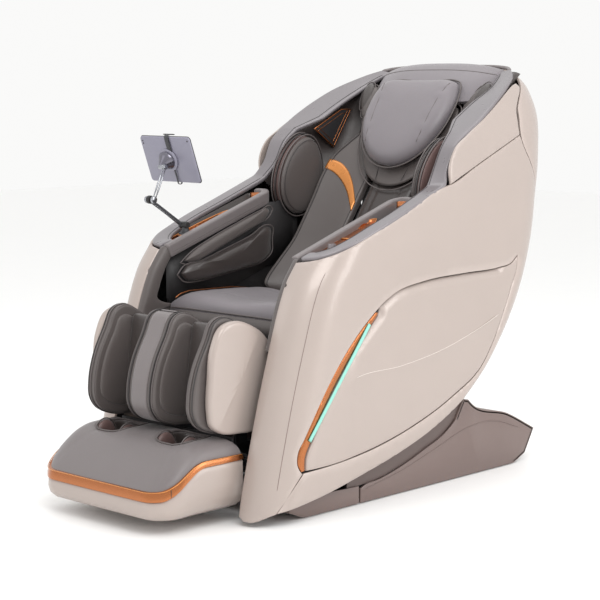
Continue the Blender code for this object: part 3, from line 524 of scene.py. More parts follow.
rubber = finish("rubber", rgb("232323"), 0.75, grain=0.6, size=500, vary=0.15)
tablet_back = finish("tablet_metal", rgb("8B8998"), 0.34, 0.15, grain=0.06, size=2400,
                     vary=0.04, coat=0.1, wear=0.4)
glass = finish("dark_glass", rgb("14151A"), 0.08, grain=0.01, size=900, vary=0.1, coat=0.6)
red = finish("switch_red", rgb("A02018"), 0.35, grain=0.1, size=1200, vary=0.06, wear=0.3)

SLOT_PAINT = {"beige_shell": beige, "gray_leather": leather, "gray_trim": trim_gray,
              "mauve_plastic": mauve, "mauve_leather": leather_mauve, "copper_trim": copper,
              "light_bar": copper, "black_plastic": black, "painted_steel": steel_painted,
              "bright_steel": steel_bright, "rubber": rubber, "tablet_case": tablet_back,
              "switch_red": red}

# ---- Side shells -----------------------------------------------------------------------
rail_top = [(-0.252, 0.700), (-0.240, 0.706), (-0.195, 0.722), (-0.120, 0.748)]
rail_top += [(-0.049, 0.775), (0.064, 0.816), (0.241, 0.883)]
side_top = [(y, z - 0.0070) for y, z in rail_top[1:]]
wing_line = [(0.262, 0.8800), (0.391, 0.9325), (0.594, 1.0155)]
front_side = [(float(front_at(z)), z) for z in np.arange(0.026, 0.692, 0.013)]
rear_side = [(float(groove_at(z)), z) for z in np.linspace(0.321, 0.990, 30)]
under = [(0.350, 0.255), (0.226, 0.192), (0.055, 0.134), (-0.108, 0.095)]
under += [(-0.264, 0.063), (-0.400, 0.0435)]
light_front = [(-0.352, 0.139), (-0.364, 0.160), (-0.362, 0.190), (-0.339, 0.227)]
light_front += [(-0.111, 0.502), (-0.055, 0.544)]
light_back = [(-0.040, 0.540), (-0.060, 0.520), (-0.087, 0.496), (-0.316, 0.214)]
light_back += [(-0.336, 0.175), (-0.337, 0.141)]
leaf_front = [(-0.334, 0.141), (-0.333, 0.174), (-0.313, 0.212), (-0.084, 0.493)]
leaf_front += [(-0.057, 0.517), (-0.033, 0.537)]
leaf_top = [(-0.033, 0.556), (0.033, 0.590), (0.150, 0.610), (0.343, 0.619)]
leaf_top += [(0.500, 0.623), (0.560, 0.632), (0.590, 0.652)]
leaf_rear = [(0.588, 0.620), (0.565, 0.570), (0.520, 0.480), (0.470, 0.395)]
leaf_rear += [(0.420, 0.335), (0.278, 0.259), (0.105, 0.199), (-0.092, 0.157)]
leaf_rear += [(-0.249, 0.142)]
light_outline = spline(light_front + light_back, 0.008)
leaf_outline = spline(leaf_front[:-1] + [(-0.036, 0.538)] + leaf_top + leaf_rear, 0.010)
leaf_outline = inset(leaf_outline, 0.0006)
light_outline = inset(light_outline, 0.0008)
opening = spline(light_front[1:] + [(-0.045, 0.551)] + leaf_top[1:] + leaf_rear
                 + [(-0.352, 0.138)], 0.010)
opening = inset(opening, -0.0024)
first = int(np.argmin(np.linalg.norm(opening - np.array((-0.354, 0.137)), axis=1)))
opening = np.roll(opening, -first, axis=0)
outer_ring = spline([(-0.4335, 0.0375), (-0.452, 0.030), (-0.468, 0.020), (-0.478, 0.0135),
                     (-0.4838, 0.0145)]
                    + front_side + side_top + wing_line + rear_side[::-1] + under
                    + [(-0.4305, 0.0385)], 0.014, closed=False, sharp=38)
side_outline = np.concatenate([outer_ring, [opening[0] + (0.0020, 0.0)], opening[1:-1],
                               [opening[-1] - (0.0020, 0.0)]])
wing_outline = [(0.266, 0.8825), (0.262, 0.928), (0.292, 0.987), (0.341, 1.019)]
wing_outline += [(0.415, 1.061), (0.484, 1.100), (0.568, 1.144), (0.622, 1.166)]
wing_outline += [(0.642, 1.171), (0.650, 1.160), (0.634, 1.144), (0.607, 1.120)]
wing_outline += [(0.587, 1.090), (0.587, 1.050), (0.592, 1.017), (0.391, 0.935)]
wing_outline = spline(wing_outline, 0.010)
crease = spline([(-0.160, 0.366), (-0.149, 0.369), (0.052, 0.382), (0.223, 0.406),
                 (0.400, 0.452), (0.540, 0.500)], 0.010, closed=False)
lip_line = spline(leaf_front + leaf_top[:5], 0.010, closed=False)


def leaf_relief(flat):
    """Chamfered lip along the light bar and the top, and a fold across the leaf."""
    away = distance(flat, lip_line, False)
    high = np.clip((flat[:, 1] - 0.44) / 0.12, 0, 1)
    wide = 0.020 - 0.002 * high
    lip = np.clip(1 - away / wide, 0, 1)
    height = -lip * (0.0030 + 0.0100 * high)
    level = np.interp(flat[:, 0], crease[:, 0], crease[:, 1])
    side = flat[:, 1] - level
    near = distance(flat, crease, False)
    depth = np.where(side > 0, 0.0075 * np.exp(-near / 0.060), 0.0075 * np.exp(-near / 0.026))
    reach = np.clip((0.54 - flat[:, 0]) / 0.20, 0, 1) * np.clip((flat[:, 0] + 0.19) / 0.05, 0, 1)
    inner = np.clip(away / 0.04, 0, 1)
    return height + (depth - 0.0030) * reach * inner * 0.8


for word, side in SIDES:
    panel("side_shell_" + word, side_outline, side, beige, "side_panel_" + word, wall=SHELL_WALL)
    panel("leaf_shell_" + word, leaf_outline, side, beige, "leaf_panel_" + word,
          relief=leaf_relief, extra=[crease], pitch=0.011, wall=0.018)
    panel("wing_shell_" + word, wing_outline, side, beige, "wing_panel_" + word, wall=SHELL_WALL)
    panel("light_channel_" + word, light_outline, side, copper, "led_strip_" + word, wall=0.010,
          rim=0.003, relief=lambda flat: np.full(len(flat), -0.0040),
          pitch=0.006)
    run = np.linspace(0, 1, 60)
    glow_w = -0.3235 + (-0.0840 + 0.3235) * run
    glow_z = 0.221 + (0.512 - 0.221) * run
    rings = []
    for w, z in zip(glow_w, glow_z):
        normal = shell_normal(w, z)
        across = np.array([0.0, 0.78, -0.62])
        ring = []
        for k in range(10):
            a = 2 * math.pi * k / 10
            ring.append(shell(w, z) - normal * 0.0012 + across * 0.0056 * math.cos(a)
                        + normal * 0.0032 * math.sin(a))
        rings.append(np.array(ring) * np.array([side, 1, 1]))
    loft("light_bar_" + word, rings, led, "chair")

for word, side in SIDES:
    line = [shell(front_at(z) + 0.042, z) + shell_normal(front_at(z) + 0.042, z) * 0.0002
            for z in np.linspace(0.10, 0.665, 90)]
    fold = crease[(crease[:, 0] > -0.14) & (crease[:, 0] < 0.50)]
    lifted = [shell(w, z) + shell_normal(w, z) * 0.0037 for w, z in fold]
    # thin pale cord just proud of the leaf's fold: a painted highlight on the crease
    tube("leaf_fold_highlight_" + word, mirror(lifted, side), 0.0007, beige_painted_highlight, "chair")
    tube("shell_seam_" + word, mirror(line, side), 0.0007, mauve, "chair")
    # black sheet set inside the open shell: painted shade in place of the hollow interior
    lining = inset(spline(outer_ring, 0.03, closed=True, sharp=200), 0.012)
    panel("shell_shade_sheet_" + word, lining, side, black, "", wall=0.0175, rim=0.001,
          relief=lambda flat: np.full(len(flat), -0.0155), pitch=0.026)

# ---- Camera, lights and floor ----------------------------------------------------------
camera_data = bpy.data.cameras.new("camera")
camera_data.lens = 102.68
camera_data.sensor_width = 36.0
camera = bpy.data.objects.new("camera", camera_data)
bpy.context.scene.collection.objects.link(camera)
camera.location = (3.467, -3.588, 1.167)
camera.rotation_mode = "QUATERNION"
look = Vector((0, 0.046, 0.534)) - Vector(camera.location)
camera.rotation_quaternion = look.to_track_quat("-Z", "Y")
bpy.context.scene.camera = camera

floor_mesh = bpy.data.meshes.new("floor")
bm = bmesh.new()
grid = []
for i in range(25):
    row = []
    for j in range(25):
        row.append(bm.verts.new(((i - 12) * 1.0, (j - 12) * 1.0, 0.0)))
    grid.append(row)
for i in range(24):
    for j in range(24):
        bm.faces.new((grid[i][j], grid[i + 1][j], grid[i + 1][j + 1], grid[i][j + 1]))
bm.to_mesh(floor_mesh)
bm.free()
floor = bpy.data.objects.new("floor", floor_mesh)
bpy.context.scene.collection.objects.link(floor)
floor_paint = finish("floor_white", (0.985, 0.985, 0.98), 0.5, grain=0.02, size=60, vary=0.01)
floor_mesh.materials.append(floor_paint)

world = bpy.data.worlds.new("studio")
world.use_nodes = True
world.node_tree.nodes["Background"].inputs[0].default_value = (1.0, 0.998, 0.99, 1)
world.node_tree.nodes["Background"].inputs[1].default_value = 0.955
bpy.context.scene.world = world
bpy.context.scene.view_settings.view_transform = "Standard"


def lamp(name, place, target, size, power):
    data = bpy.data.lights.new(name, "AREA")
    data.shape = "RECTANGLE"
    data.size = size[0]
    data.size_y = size[1]
    data.energy = power
    lit = bpy.data.objects.new(name, data)
    bpy.context.scene.collection.objects.link(lit)
    lit.location = place
    lit.rotation_mode = "QUATERNION"
    lit.rotation_quaternion = (Vector(target) - Vector(place)).to_track_quat("-Z", "Y")


lamp("key", (2.4, -1.6, 3.4), (0.1, 0.0, 0.6), (2.4, 2.4), 70)
lamp("side_strip", (3.2, 1.6, 1.6), (0.3, 0.0, 0.5), (1.0, 2.4), 34)
lamp("front_fill", (-1.8, -3.4, 1.8), (0.0, -0.2, 0.5), (2.0, 2.0), 10)
lamp("top", (-0.6, 0.4, 3.6), (0.0, 0.1, 0.6), (2.2, 2.2), 18)

# ---- Shapes shared by the upholstery ---------------------------------------------------
BACK_Y = 0.352
BACK_Z = 0.711
BACK_LEAN = 0.71
BACK_DZ = 1.0 / math.hypot(1.0, BACK_LEAN)
BACK_DY = BACK_LEAN * BACK_DZ
ARM_Y = -0.246
ARM_Z = 0.700
ARM_SLOPE = 0.337


def on_back(x, z, lift):
    """A point on the backrest plane at height z, lifted towards the sitter."""
    y = BACK_Y + (z - BACK_Z) * BACK_LEAN
    return np.array([x, y - lift * BACK_DZ, z + lift * BACK_DY])


def arm_top(y):
    return ARM_Z + ARM_SLOPE * (y - ARM_Y)


def cushion(name, outline, place, paint, body, front=0.02, back=0.006, power=2.6,
            relief=None, rings=9, middle=None):
    """A crowned closed pad over an outline; place(u, v, h) puts it in the chair."""
    outline = np.asarray(outline, float)
    centre = outline.mean(0) if middle is None else np.array(middle)
    shares = [1 - (1 - i / rings) ** 1.6 for i in range(rings + 1)][1:]
    verts = [place(u, v, 0.0) for u, v in outline]
    count = len(outline)
    faces = []

    def half(depth):
        previous = 0
        for share in shares[:-1]:
            k = 1 - share
            h = depth * (1 - k ** power) ** (1 / power)
            start = len(verts)
            for u, v in outline:
                a = centre[0] + (u - centre[0]) * k
                b = centre[1] + (v - centre[1]) * k
                extra = relief(a, b, share) if relief and depth > 0 else 0.0
                verts.append(place(a, b, h + extra))
            for i in range(count):
                j = (i + 1) % count
                faces.append([previous + i, previous + j, start + j, start + i])
            previous = start
        extra = relief(centre[0], centre[1], 1.0) if relief and depth > 0 else 0.0
        verts.append(place(centre[0], centre[1], depth + extra))
        last = len(verts) - 1
        for i in range(count):
            faces.append([previous + i, previous + (i + 1) % count, last])

    half(front)
    half(-back)
    piece = build(name, verts, faces, paint, body, subdivide=1)
    return piece


def slab(name, outline, x0, x1, paint, body, side=1, rounding=0.008, crown=0.0,
         subdivide=0, relief=None):
    """An outline in Y and Z given a thickness in X, with rounded rims."""
    outline = np.asarray(outline, float)
    centre = outline.mean(0)
    steps = [math.radians(a) for a in (0, 22, 45, 68, 90)]
    rims = [(rounding * (1 - math.sin(a)), rounding * (1 - math.cos(a))) for a in steps]
    rings = []
    inner = inset(outline, rims[0][0])
    for k in (0.12, 0.4, 0.7, 0.9):
        ring = centre + (inner - centre) * k
        bulge = crown * (1 - k ** 2)
        rings.append([(x0 - bulge, a, b) for a, b in ring])
    for gap, run in rims:
        rings.append([(x0 + run, a, b) for a, b in inset(outline, gap)])
    for gap, run in reversed(rims):
        rings.append([(x1 - run, a, b) for a, b in inset(outline, gap)])
    for k in (0.9, 0.7, 0.4, 0.12):
        ring = centre + (inner - centre) * k
        bulge = crown * (1 - k ** 2)
        made = []
        for a, b in ring:
            extra = relief(a, b) if relief else 0.0
            made.append((x1 + bulge + extra, a, b))
        rings.append(made)
    piece = loft(name, [mirror(r, side) for r in rings], paint, body, subdivide=subdivide)
    return piece


def lathe(name, start, end, profile, paint, body, sides=28):
    """A turned part from one point to another; the profile gives share and radius."""
    start = np.array(start, float)
    end = np.array(end, float)
    axis = end - start
    length = np.linalg.norm(axis)
    axis = axis / length
    u = np.cross(axis, (0.1, 0.3, 0.95))
    u /= np.linalg.norm(u)
    v = np.cross(axis, u)
    angles = np.arange(sides) * 2 * math.pi / sides
    rings = []
    for share, radius in profile:
        centre = start + axis * length * share
        rings.append(centre + radius * (np.cos(angles)[:, None] * u + np.sin(angles)[:, None] * v))
    return loft(name, rings, paint, body, sharp=35)


def rounded(half_a, half_b, radius, steps=5):
    """A rounded rectangle round the origin."""
    made = []
    for sa, sb, first in ((1, 1, 0), (-1, 1, 90), (-1, -1, 180), (1, -1, 270)):
        for i in range(steps + 1):
            a = math.radians(first + 90 * i / steps)
            made.append((sa * (half_a - radius) + radius * math.cos(a),
                         sb * (half_b - radius) + radius * math.sin(a)))
    return np.array(made)


# ---- Rails along the rim of the shell --------------------------------------------------
rail_outer = [(0.283, -0.252, 0.700), (0.330, -0.240, 0.706), (0.366, -0.195, 0.722)]
rail_outer += [(0.384, -0.120, 0.748), (0.3895, -0.049, 0.775), (0.3895, 0.064, 0.816)]
rail_outer += [(0.388, 0.241, 0.883), (0.372, 0.266, 0.927), (0.374, 0.297, 0.987)]
rail_outer += [(0.380, 0.344, 1.026), (0.380, 0.418, 1.071), (0.369, 0.487, 1.111)]
rail_outer += [(0.345, 0.573, 1.156), (0.300, 0.668, 1.196), (0.262, 0.712, 1.214)]
rail_inner = [(0.277, -0.205, 0.713), (0.300, -0.195, 0.716), (0.322, -0.165, 0.727)]
rail_inner += [(0.334, -0.110, 0.749), (0.338, -0.049, 0.773), (0.338, 0.064, 0.813)]
rail_inner += [(0.330, 0.225, 0.876), (0.316, 0.270, 0.927), (0.314, 0.306, 0.987)]
rail_inner += [(0.306, 0.352, 1.030), (0.262, 0.425, 1.064), (0.257, 0.515, 1.111)]
rail_inner += [(0.254, 0.612, 1.155), (0.240, 0.672, 1.187), (0.223, 0.712, 1.206)]
RAIL_CORNERS = (6, 9, 10)


def paired(a, b, parts):
    """Both rail lines with the same number of points between each pair of stations."""
    full_a = []
    full_b = []
    for line, full in ((a, full_a), (b, full_b)):
        p = [np.array(q) for q in line]
        count = len(p)
        way = [p[min(i + 1, count - 1)] - p[max(i - 1, 0)] for i in range(count)]
        for i in range(count - 1):
            length = np.linalg.norm(p[i + 1] - p[i])
            here = p[i + 1] - p[i] if i in RAIL_CORNERS else way[i]
            there = p[i + 1] - p[i] if i + 1 in RAIL_CORNERS else way[i + 1]
            ta = here / np.linalg.norm(here) * length
            tb = there / np.linalg.norm(there) * length
            for k in range(parts):
                t = k / parts
                full.append((2 * t ** 3 - 3 * t * t + 1) * p[i] + (t ** 3 - 2 * t * t + t) * ta
                            + (3 * t * t - 2 * t ** 3) * p[i + 1] + (t ** 3 - t * t) * tb)
        full.append(p[-1])
    return np.array(full_a), np.array(full_b)


rail_a, rail_b = paired(rail_outer, rail_inner, 6)
for word, side in SIDES:
    rings = []
    seam = []
    for i in range(len(rail_a)):
        outer = rail_a[i]
        inner = rail_b[i]
        ahead = rail_a[min(i + 1, len(rail_a) - 1)] - rail_a[max(i - 1, 0)]
        across = inner - outer
        width = np.linalg.norm(across)
        across = across / width
        up = np.cross(across, ahead)
        up /= np.linalg.norm(up)
        if up[2] < 0:
            up = -up
        ring = []
        for a, b in ((0.0, -0.5), (0.0, -0.25), (0.02, -0.09), (0.07, -0.015), (0.2, 0.0),
                     (0.5, 0.02), (0.8, 0.0), (0.93, -0.015), (0.98, -0.09), (1.0, -0.25),
                     (1.0, -0.5), (0.97, -0.85), (0.9, -1.0), (0.5, -1.0), (0.1, -1.0),
                     (0.03, -0.85)):
            ring.append(outer + across * width * a + up * 0.0160 * b)
        rings.append(mirror(ring, side))
        seam.append(mirror([outer + across * width * 0.86 + up * 0.0002], side)[0])
    rail = loft("rail_" + word, rings, trim_gray, "chair", subdivide=1)
    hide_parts("rim_rail_" + word)
    tube("rail_seam_" + word, seam[4:-3], 0.0009, piping_dark, "chair")
    # leather wall from the rail back to the upholstery, behind the shoulder pad and speaker
    rings = []
    for i in range(36, len(rail_b), 2):
        top = rail_b[i]
        depth = (top[1] - (BACK_Y + (top[2] - BACK_Z) * BACK_LEAN)) * BACK_DZ
        drop = 0.018 - depth
        line = []
        for t, x in ((0.03, top[0] + 0.003), (0.25, max(top[0] + 0.010, 0.290)),
                     (0.55, max(top[0], 0.292)), (0.8, 0.275), (1.0, 0.236)):
            line.append((x, top[1] + drop * t * BACK_DZ, top[2] - drop * t * BACK_DY - 0.004))
        line = spline(line, 0.012, closed=False, sharp=200)
        count = 14
        pick = np.linspace(0, len(line) - 1, count)
        line = np.stack([np.interp(pick, np.arange(len(line)), line[:, k]) for k in range(3)], 1)
        rings.append(mirror(np.concatenate([line, (line + (0.004, 0.0, 0.0))[::-1]]), side))
    loft("head_liner_" + word, rings, leather_dark, "chair")

# ---- Back cover ------------------------------------------------------------------------
COVER_WALL = 0.008
rings = []
cover_z = list(np.linspace(0.330, 0.95, 40)) + list(np.linspace(0.965, 1.2125, 26))
for z in cover_z:
    radius = float(corner_at(z))
    end = float(rear_at(z)) - radius + radius * math.pi / 2
    w = np.linspace(float(groove_at(z)) + 0.0030, end, 22)
    level = np.full(len(w), z)
    outer = shell(w, level)
    normal = shell_normal(w, level)
    bulge = 0.012 * min(1.0, max(0.0, (z - 0.30) / 0.45))
    rows = []
    for depth in (0.0, COVER_WALL):
        line = outer - normal * depth
        if depth == 0.0:
            line[0] -= normal[0] * 0.0015
        flat = line[-1][0]
        line = np.concatenate([line, [[flat * k, line[-1][1], z] for k in np.linspace(0.9, 0.0, 8)]])
        spread = np.clip(np.abs(line[:, 0]) / max(0.2, float(half_at(z))), 0, 1)
        line[:, 1] += bulge * (1 - spread ** 2)
        rows.append(np.concatenate([line, line[:-1][::-1] * (-1, 1, 1)]))
    rings.append(np.concatenate([rows[0], rows[1][::-1]]))
cover = loft("back_shell", rings, beige, "chair", sharp=50)
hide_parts("back_cover")
for z, reach in ((0.62, 0.20), (0.94, 0.23)):
    line = []
    for x in np.linspace(-reach, reach, 41):
        spread = abs(x) / 0.39
        level = z + 0.05 * (1 - (x / reach) ** 2)
        bulge = 0.012 * min(1.0, (level - 0.30) / 0.45) * (1 - spread ** 2)
        line.append((x, float(rear_at(level)) + bulge + 0.0002, level))
    tube("back_seam_%d" % int(z * 100), line, 0.0012, mauve, "chair")

# ---- Top cap ---------------------------------------------------------------------------
crest = [(0.560, 1.110), (0.592, 1.152), (0.622, 1.184), (0.656, 1.212), (0.690, 1.229)]
crest += [(0.714, 1.233), (0.734, 1.226), (0.746, 1.206), (0.750, 1.184), (0.706, 1.196)]
crest += [(0.660, 1.184), (0.626, 1.160), (0.596, 1.122), (0.580, 1.100)]
crest = spline(crest, 0.006, closed=True, sharp=60)
rings = []
for x in np.linspace(-1, 1, 29):
    away = abs(x) ** 3
    middle = np.array((0.745, 1.210))
    shrink = np.array([1 - 0.42 * away ** 1.2, 1 - 0.30 * away])
    ring = middle + (crest - middle) * shrink - (0, 0.018 * away)
    rings.append([(x * 0.236, a, b) for a, b in ring])
cap = loft("head_cap", rings, leather_pale, "chair", subdivide=1)
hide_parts("top_cap")
for y, z in ((0.6565, 1.2120), (0.7345, 1.2255)):
    line = []
    for x in np.linspace(-0.97, 0.97, 49):
        away = abs(x) ** 3
        line.append((x * 0.236, 0.745 + (y - 0.745) * (1 - 0.42 * away ** 1.2),
                     1.210 + (z - 1.210) * (1 - 0.30 * away) - 0.018 * away))
    tube("cap_seam_%d" % int(y * 1000), line, 0.0014, piping, "chair")

arch = [(0.262, 0.708, 1.2085), (0.240, 0.730, 1.2150), (0.195, 0.745, 1.2200), (0.100, 0.7515, 1.2230)]
arch += [(-x, y, z) for x, y, z in [(0.0, 0.7525, 1.2240)] + arch[::-1]]
arch = spline(arch, 0.012, closed=False, sharp=200)
tube("rail_arch", arch, 0.0060, leather_mid, "chair")

# ---- Seat ------------------------------------------------------------------------------
seat_line = [(-0.252, 0.526), (-0.249, 0.541), (-0.238, 0.553), (-0.215, 0.561), (-0.180, 0.5640)]
seat_line += [(-0.100, 0.562), (0.000, 0.558), (0.080, 0.546), (0.108, 0.520), (0.190, 0.508)]
seat_line += [(0.195, 0.486), (0.00, 0.484), (-0.230, 0.484), (-0.250, 0.500)]
seat_line = spline(seat_line, 0.012, closed=True, sharp=70)


def seat_ring(x):
    away = abs(x) ** 5
    middle = np.array((-0.03, 0.510))
    ring = middle + (seat_line - middle) * np.array([1 - 0.03 * away, 1 - 0.42 * away ** 1.5])
    dish = 0.006 * math.cos(min(1.0, abs(x) / 0.75) * math.pi)
    lift = np.clip((ring[:, 1] - 0.535) / 0.02, 0, 1)
    ring[:, 1] -= dish * lift * (1 - away)
    for place in (-0.155, 0.015):
        ring[:, 1] -= 0.004 * lift * np.exp(-((ring[:, 0] - place) / 0.006) ** 2) * (1 - away)
    return ring


rings = [[(x * 0.2485, a, b) for a, b in seat_ring(x)] for x in np.sin(np.linspace(-1, 1, 41) * 1.5708)]
seat = loft("seat_pad", rings, leather_pale, "chair", subdivide=1)
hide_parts("seat_cushion")
apron = [(-0.254, 0.520), (-0.262, 0.508), (-0.266, 0.492), (-0.264, 0.478), (-0.255, 0.4715)]
apron += [(0.150, 0.4710), (0.195, 0.476), (0.195, 0.482), (-0.20, 0.4825), (-0.245, 0.490)]
apron = spline(apron, 0.012, closed=True, sharp=60)
rings = []
for x in np.linspace(-1, 1, 25):
    away = abs(x) ** 8
    middle = np.array((-0.04, 0.484))
    ring = middle + (apron - middle) * np.array([1 - 0.02 * away, 1 - 0.4 * away])
    rings.append([(x * 0.2480, a, b) for a, b in ring])
base_pad = loft("seat_apron", rings, leather, "chair", subdivide=1)
line = [(x * 0.243, -0.2535 + 0.004 * abs(x) ** 6, 0.5225 - 0.004 * abs(x) ** 6)
        for x in np.linspace(-1, 1, 40)]
tube("seat_piping_front", line, 0.0024, piping, "chair")
for word, side in SIDES:
    line = []
    for y in np.linspace(-0.235, 0.075, 40):
        z = np.interp(y, [-0.25, -0.215, -0.18, 0.0, 0.08], [0.536, 0.556, 0.5618, 0.5585, 0.547])
        line.append((side * 0.2385, y, z))
    tube("seat_accent_" + word, line, 0.0018, copper, "chair")

# ---- Back lobes ------------------------------------------------------------------------
flare_at = curve([(0.518, 0.080), (0.560, 0.122), (0.620, 0.098), (0.700, 0.070),
                  (0.800, 0.072), (0.885, 0.080), (0.935, 0.074), (0.980, 0.058), (1.020, 0.038),
                  (1.055, 0.022)])
lobe_half = curve([(0.518, 0.196), (0.530, 0.222), (0.560, 0.243), (0.620, 0.2465),
                   (0.860, 0.2465), (0.935, 0.2440), (0.980, 0.228), (1.020, 0.205), (1.055, 0.176)])


def lobe_point(x, z, proud=0.0):
    """Front surface of the left lobe."""
    share = min(1.0, max(0.0, (x - 0.106) / (0.2465 - 0.106)))
    flare = float(flare_at(z)) * (0.10 * math.sin(min(1.0, share * 5) * 1.5708) + 0.90 * share ** 1.7)
    y = BACK_Y + (z - BACK_Z) * BACK_LEAN - flare
    return np.array([x, y - proud * 0.8, z + proud * 0.45])


for word, side in SIDES:
    rings = []
    for z in np.concatenate([[0.519, 0.522, 0.528], np.linspace(0.54, 1.025, 34), [1.036, 1.046, 1.052]]):
        low = np.clip((z - 0.517) / 0.022, 0, 1) ** 0.5
        high = np.clip((1.055 - z) / 0.030, 0, 1) ** 0.5
        fit = 0.30 + 0.70 * low * high
        half = float(lobe_half(z))
        inner = 0.1075 + 0.010 * (1 - low * high)
        line = [lobe_point(x, z) for x in np.linspace(inner, half - 0.006, 13)]
        corner = lobe_point(half - 0.002, z)
        depth = 0.036 + float(flare_at(z))
        y = BACK_Y + (z - BACK_Z) * BACK_LEAN
        line.append(corner + (0, 0.003, 0))
        line.append(np.array([half, corner[1] + 0.012, z]))
        line.append(np.array([half, corner[1] + 0.040, z]))
        line.append(np.array([half - 0.004, y + 0.030, z]))
        line.append(np.array([half - 0.020, y + 0.036, z]))
        line.append(np.array([inner + 0.012, y + 0.038, z]))
        line.append(np.array([inner, y + 0.026, z]))
        line.append(np.array([inner - 0.0002, y + 0.008, z]))
        ring = np.array(line)
        middle = ring.mean(0)
        ring = middle + (ring - middle) * np.array([1.0, fit, 1.0])
        rings.append(mirror(ring, side))
    lobe = loft("back_wing_" + word, rings, leather, "chair", subdivide=1)
    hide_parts("back_lobe_" + word)
    # accent stripe that curves across the lobe
    rows = []
    for t in np.linspace(0, 1, 26):
        x = 0.2405 - 0.130 * t
        z = 0.9165 - 0.025 * t - 0.105 * t ** 1.9
        width = 0.0160 * (0.85 + 0.3 * math.sin(math.pi * t))
        row = []
        for k in np.linspace(-1, 1, 7):
            row.append(lobe_point(x, z + k * width, 0.0022 + 0.0012 * (1 - k * k)))
        for k in np.linspace(1, -1, 7):
            row.append(lobe_point(x, z + k * width, -0.002))
        rows.append(mirror(row, side))
    loft("back_stripe_" + word, rows, gold, "chair")
    edge = []
    for z in np.linspace(0.545, 1.010, 50):
        half = float(lobe_half(z))
        edge.append(mirror(lobe_point(half - 0.011, z, 0.0012), side))
    tube("wing_piping_" + word, edge, 0.0016, piping_dark, "chair")
    edge = [mirror(lobe_point(0.114, z, 0.0005), side) for z in np.linspace(0.545, 0.915, 30)]
    tube("wing_seam_" + word, edge, 0.0010, piping_dark, "chair")

# ---- Centre pad ------------------------------------------------------------------------
centre_half = curve([(0.528, 0.090), (0.900, 0.090), (0.940, 0.098), (0.975, 0.190), (1.165, 0.205)])
rings = []
for z in np.concatenate([[0.532, 0.536], np.linspace(0.545, 1.150, 46), [1.158, 1.162]]):
    low = np.clip((z - 0.530) / 0.02, 0, 1) ** 0.5 * np.clip((1.164 - z) / 0.02, 0, 1) ** 0.5
    half = float(centre_half(z))
    ring = []
    for x in np.linspace(-1, 1, 25):
        lift = 0.004 - 0.016 * abs(x) ** 8 - 0.004 * math.exp(-((abs(x) - 0.52) / 0.05) ** 2)
        lift -= 0.004 * math.exp(-(((z - 0.60) % 0.105 - 0.05) / 0.006) ** 2) * (1 - abs(x) ** 4)
        ring.append(on_back(x * half, z, lift * low - 0.012 * (1 - low)))
    for x in (0.97, 0.7, 0.0, -0.7, -0.97):
        ring.append(on_back(x * half, z, -0.028 * (0.5 + 0.5 * low)))
    rings.append(ring)
pad = loft("back_middle", rings, leather_dark, "chair", subdivide=1)
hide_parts("back_center_pad")
for s in (-1, 1):
    line = [on_back(s * 0.52 * float(centre_half(z)), z, 0.0006) for z in np.linspace(0.55, 0.93, 30)]
    tube("middle_seam_" + ("left" if s > 0 else "right"), line, 0.0010, piping_dark, "chair")
    # black strips deep in the gaps beside the centre pad: painted shade between the pads
    rings = []
    for z in np.linspace(0.55, 0.93, 14):
        rings.append([on_back(s * a, z, b) for a, b in
                      ((0.094, -0.020), (0.104, -0.020), (0.104, -0.024), (0.094, -0.024))])
    loft("back_gap_shade_" + ("left" if s > 0 else "right"), rings, black, "chair")

# ---- Head pillow -----------------------------------------------------------------------
pillow = [(0.030, 0.886), (0.086, 0.906), (0.138, 0.952), (0.166, 1.005), (0.173, 1.055)]
pillow += [(0.168, 1.100), (0.150, 1.136), (0.124, 1.145), (0.050, 1.148)]
whole = pillow + [(-x, z) for x, z in pillow[::-1]]
pillow_outline = spline(whole, 0.010, closed=True, sharp=70)
flap = [(0.036, 0.838), (0.100, 0.862), (0.156, 0.925), (0.182, 0.985), (0.184, 1.030)]
flap += [(0.176, 1.072), (0.150, 1.088), (0.060, 1.092)]
whole = flap + [(-x, z) for x, z in flap[::-1]]
flap_outline = spline(whole, 0.010, closed=True, sharp=70)


def on_pillow(x, z, h):
    bow = -0.010 * (x / 0.16) ** 2
    return on_back(x, z, 0.050 + h - bow)


def on_flap(x, z, h):
    bow = -0.018 * (x / 0.16) ** 2
    return on_back(x, z, 0.0125 + h - bow)


def pillow_seam_x(z):
    """Half the distance between the two curved seams of the pillow."""
    return float(np.interp(z, [0.93, 0.97, 1.02, 1.07, 1.11, 1.135],
                           [0.100, 0.108, 0.112, 0.118, 0.128, 0.138]))


def pillow_seams(x, z, share):
    near = abs(abs(x) - pillow_seam_x(z))
    return -0.0035 * math.exp(-(near / 0.005) ** 2)


head = cushion("head_pad", pillow_outline, on_pillow, leather_pale, "pillow",
               front=0.044, back=0.030, power=3.0, relief=pillow_seams, rings=14,
               middle=(0, 1.035))
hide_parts("head_pillow")
cushion("head_flap", flap_outline, on_flap, leather, "pillow",
        front=0.009, back=0.008, power=4.0, rings=8, middle=(0, 1.02))
tube("head_piping", [on_pillow(x, z, 0.0005) for x, z in inset(pillow_outline, -0.0008)], 0.0026,
     piping, "pillow", closed=True)
tube("flap_piping", [on_flap(x, z, 0.0005) for x, z in inset(flap_outline, -0.0005)], 0.0022,
     piping, "pillow", closed=True)


def pillow_top(x, z):
    """Lift of the pillow's front at a point, from its crowned outline."""
    for step in range(1, 60):
        k = step / 60
        u = x / k
        v = 1.035 + (z - 1.035) / k
        if inside(np.array([[u, v]]), pillow_outline)[0]:
            break
    return 0.044 * (1 - k ** 3.0) ** (1 / 3.0)


for s, word in ((1, "left"), (-1, "right")):
    line = []
    for z in np.linspace(0.945, 1.122, 36):
        x = pillow_seam_x(z)
        line.append(on_pillow(s * x, z, pillow_top(x, z) - 0.0028))
    tube("head_seam_" + word, line, 0.0016, piping, "pillow")
    line = [on_flap(s * (0.052 + 0.2 * (z - 0.86)), z, 0.0075) for z in np.linspace(0.858, 0.905, 12)]
    tube("flap_seam_" + word, line, 0.0010, piping_dark, "pillow")

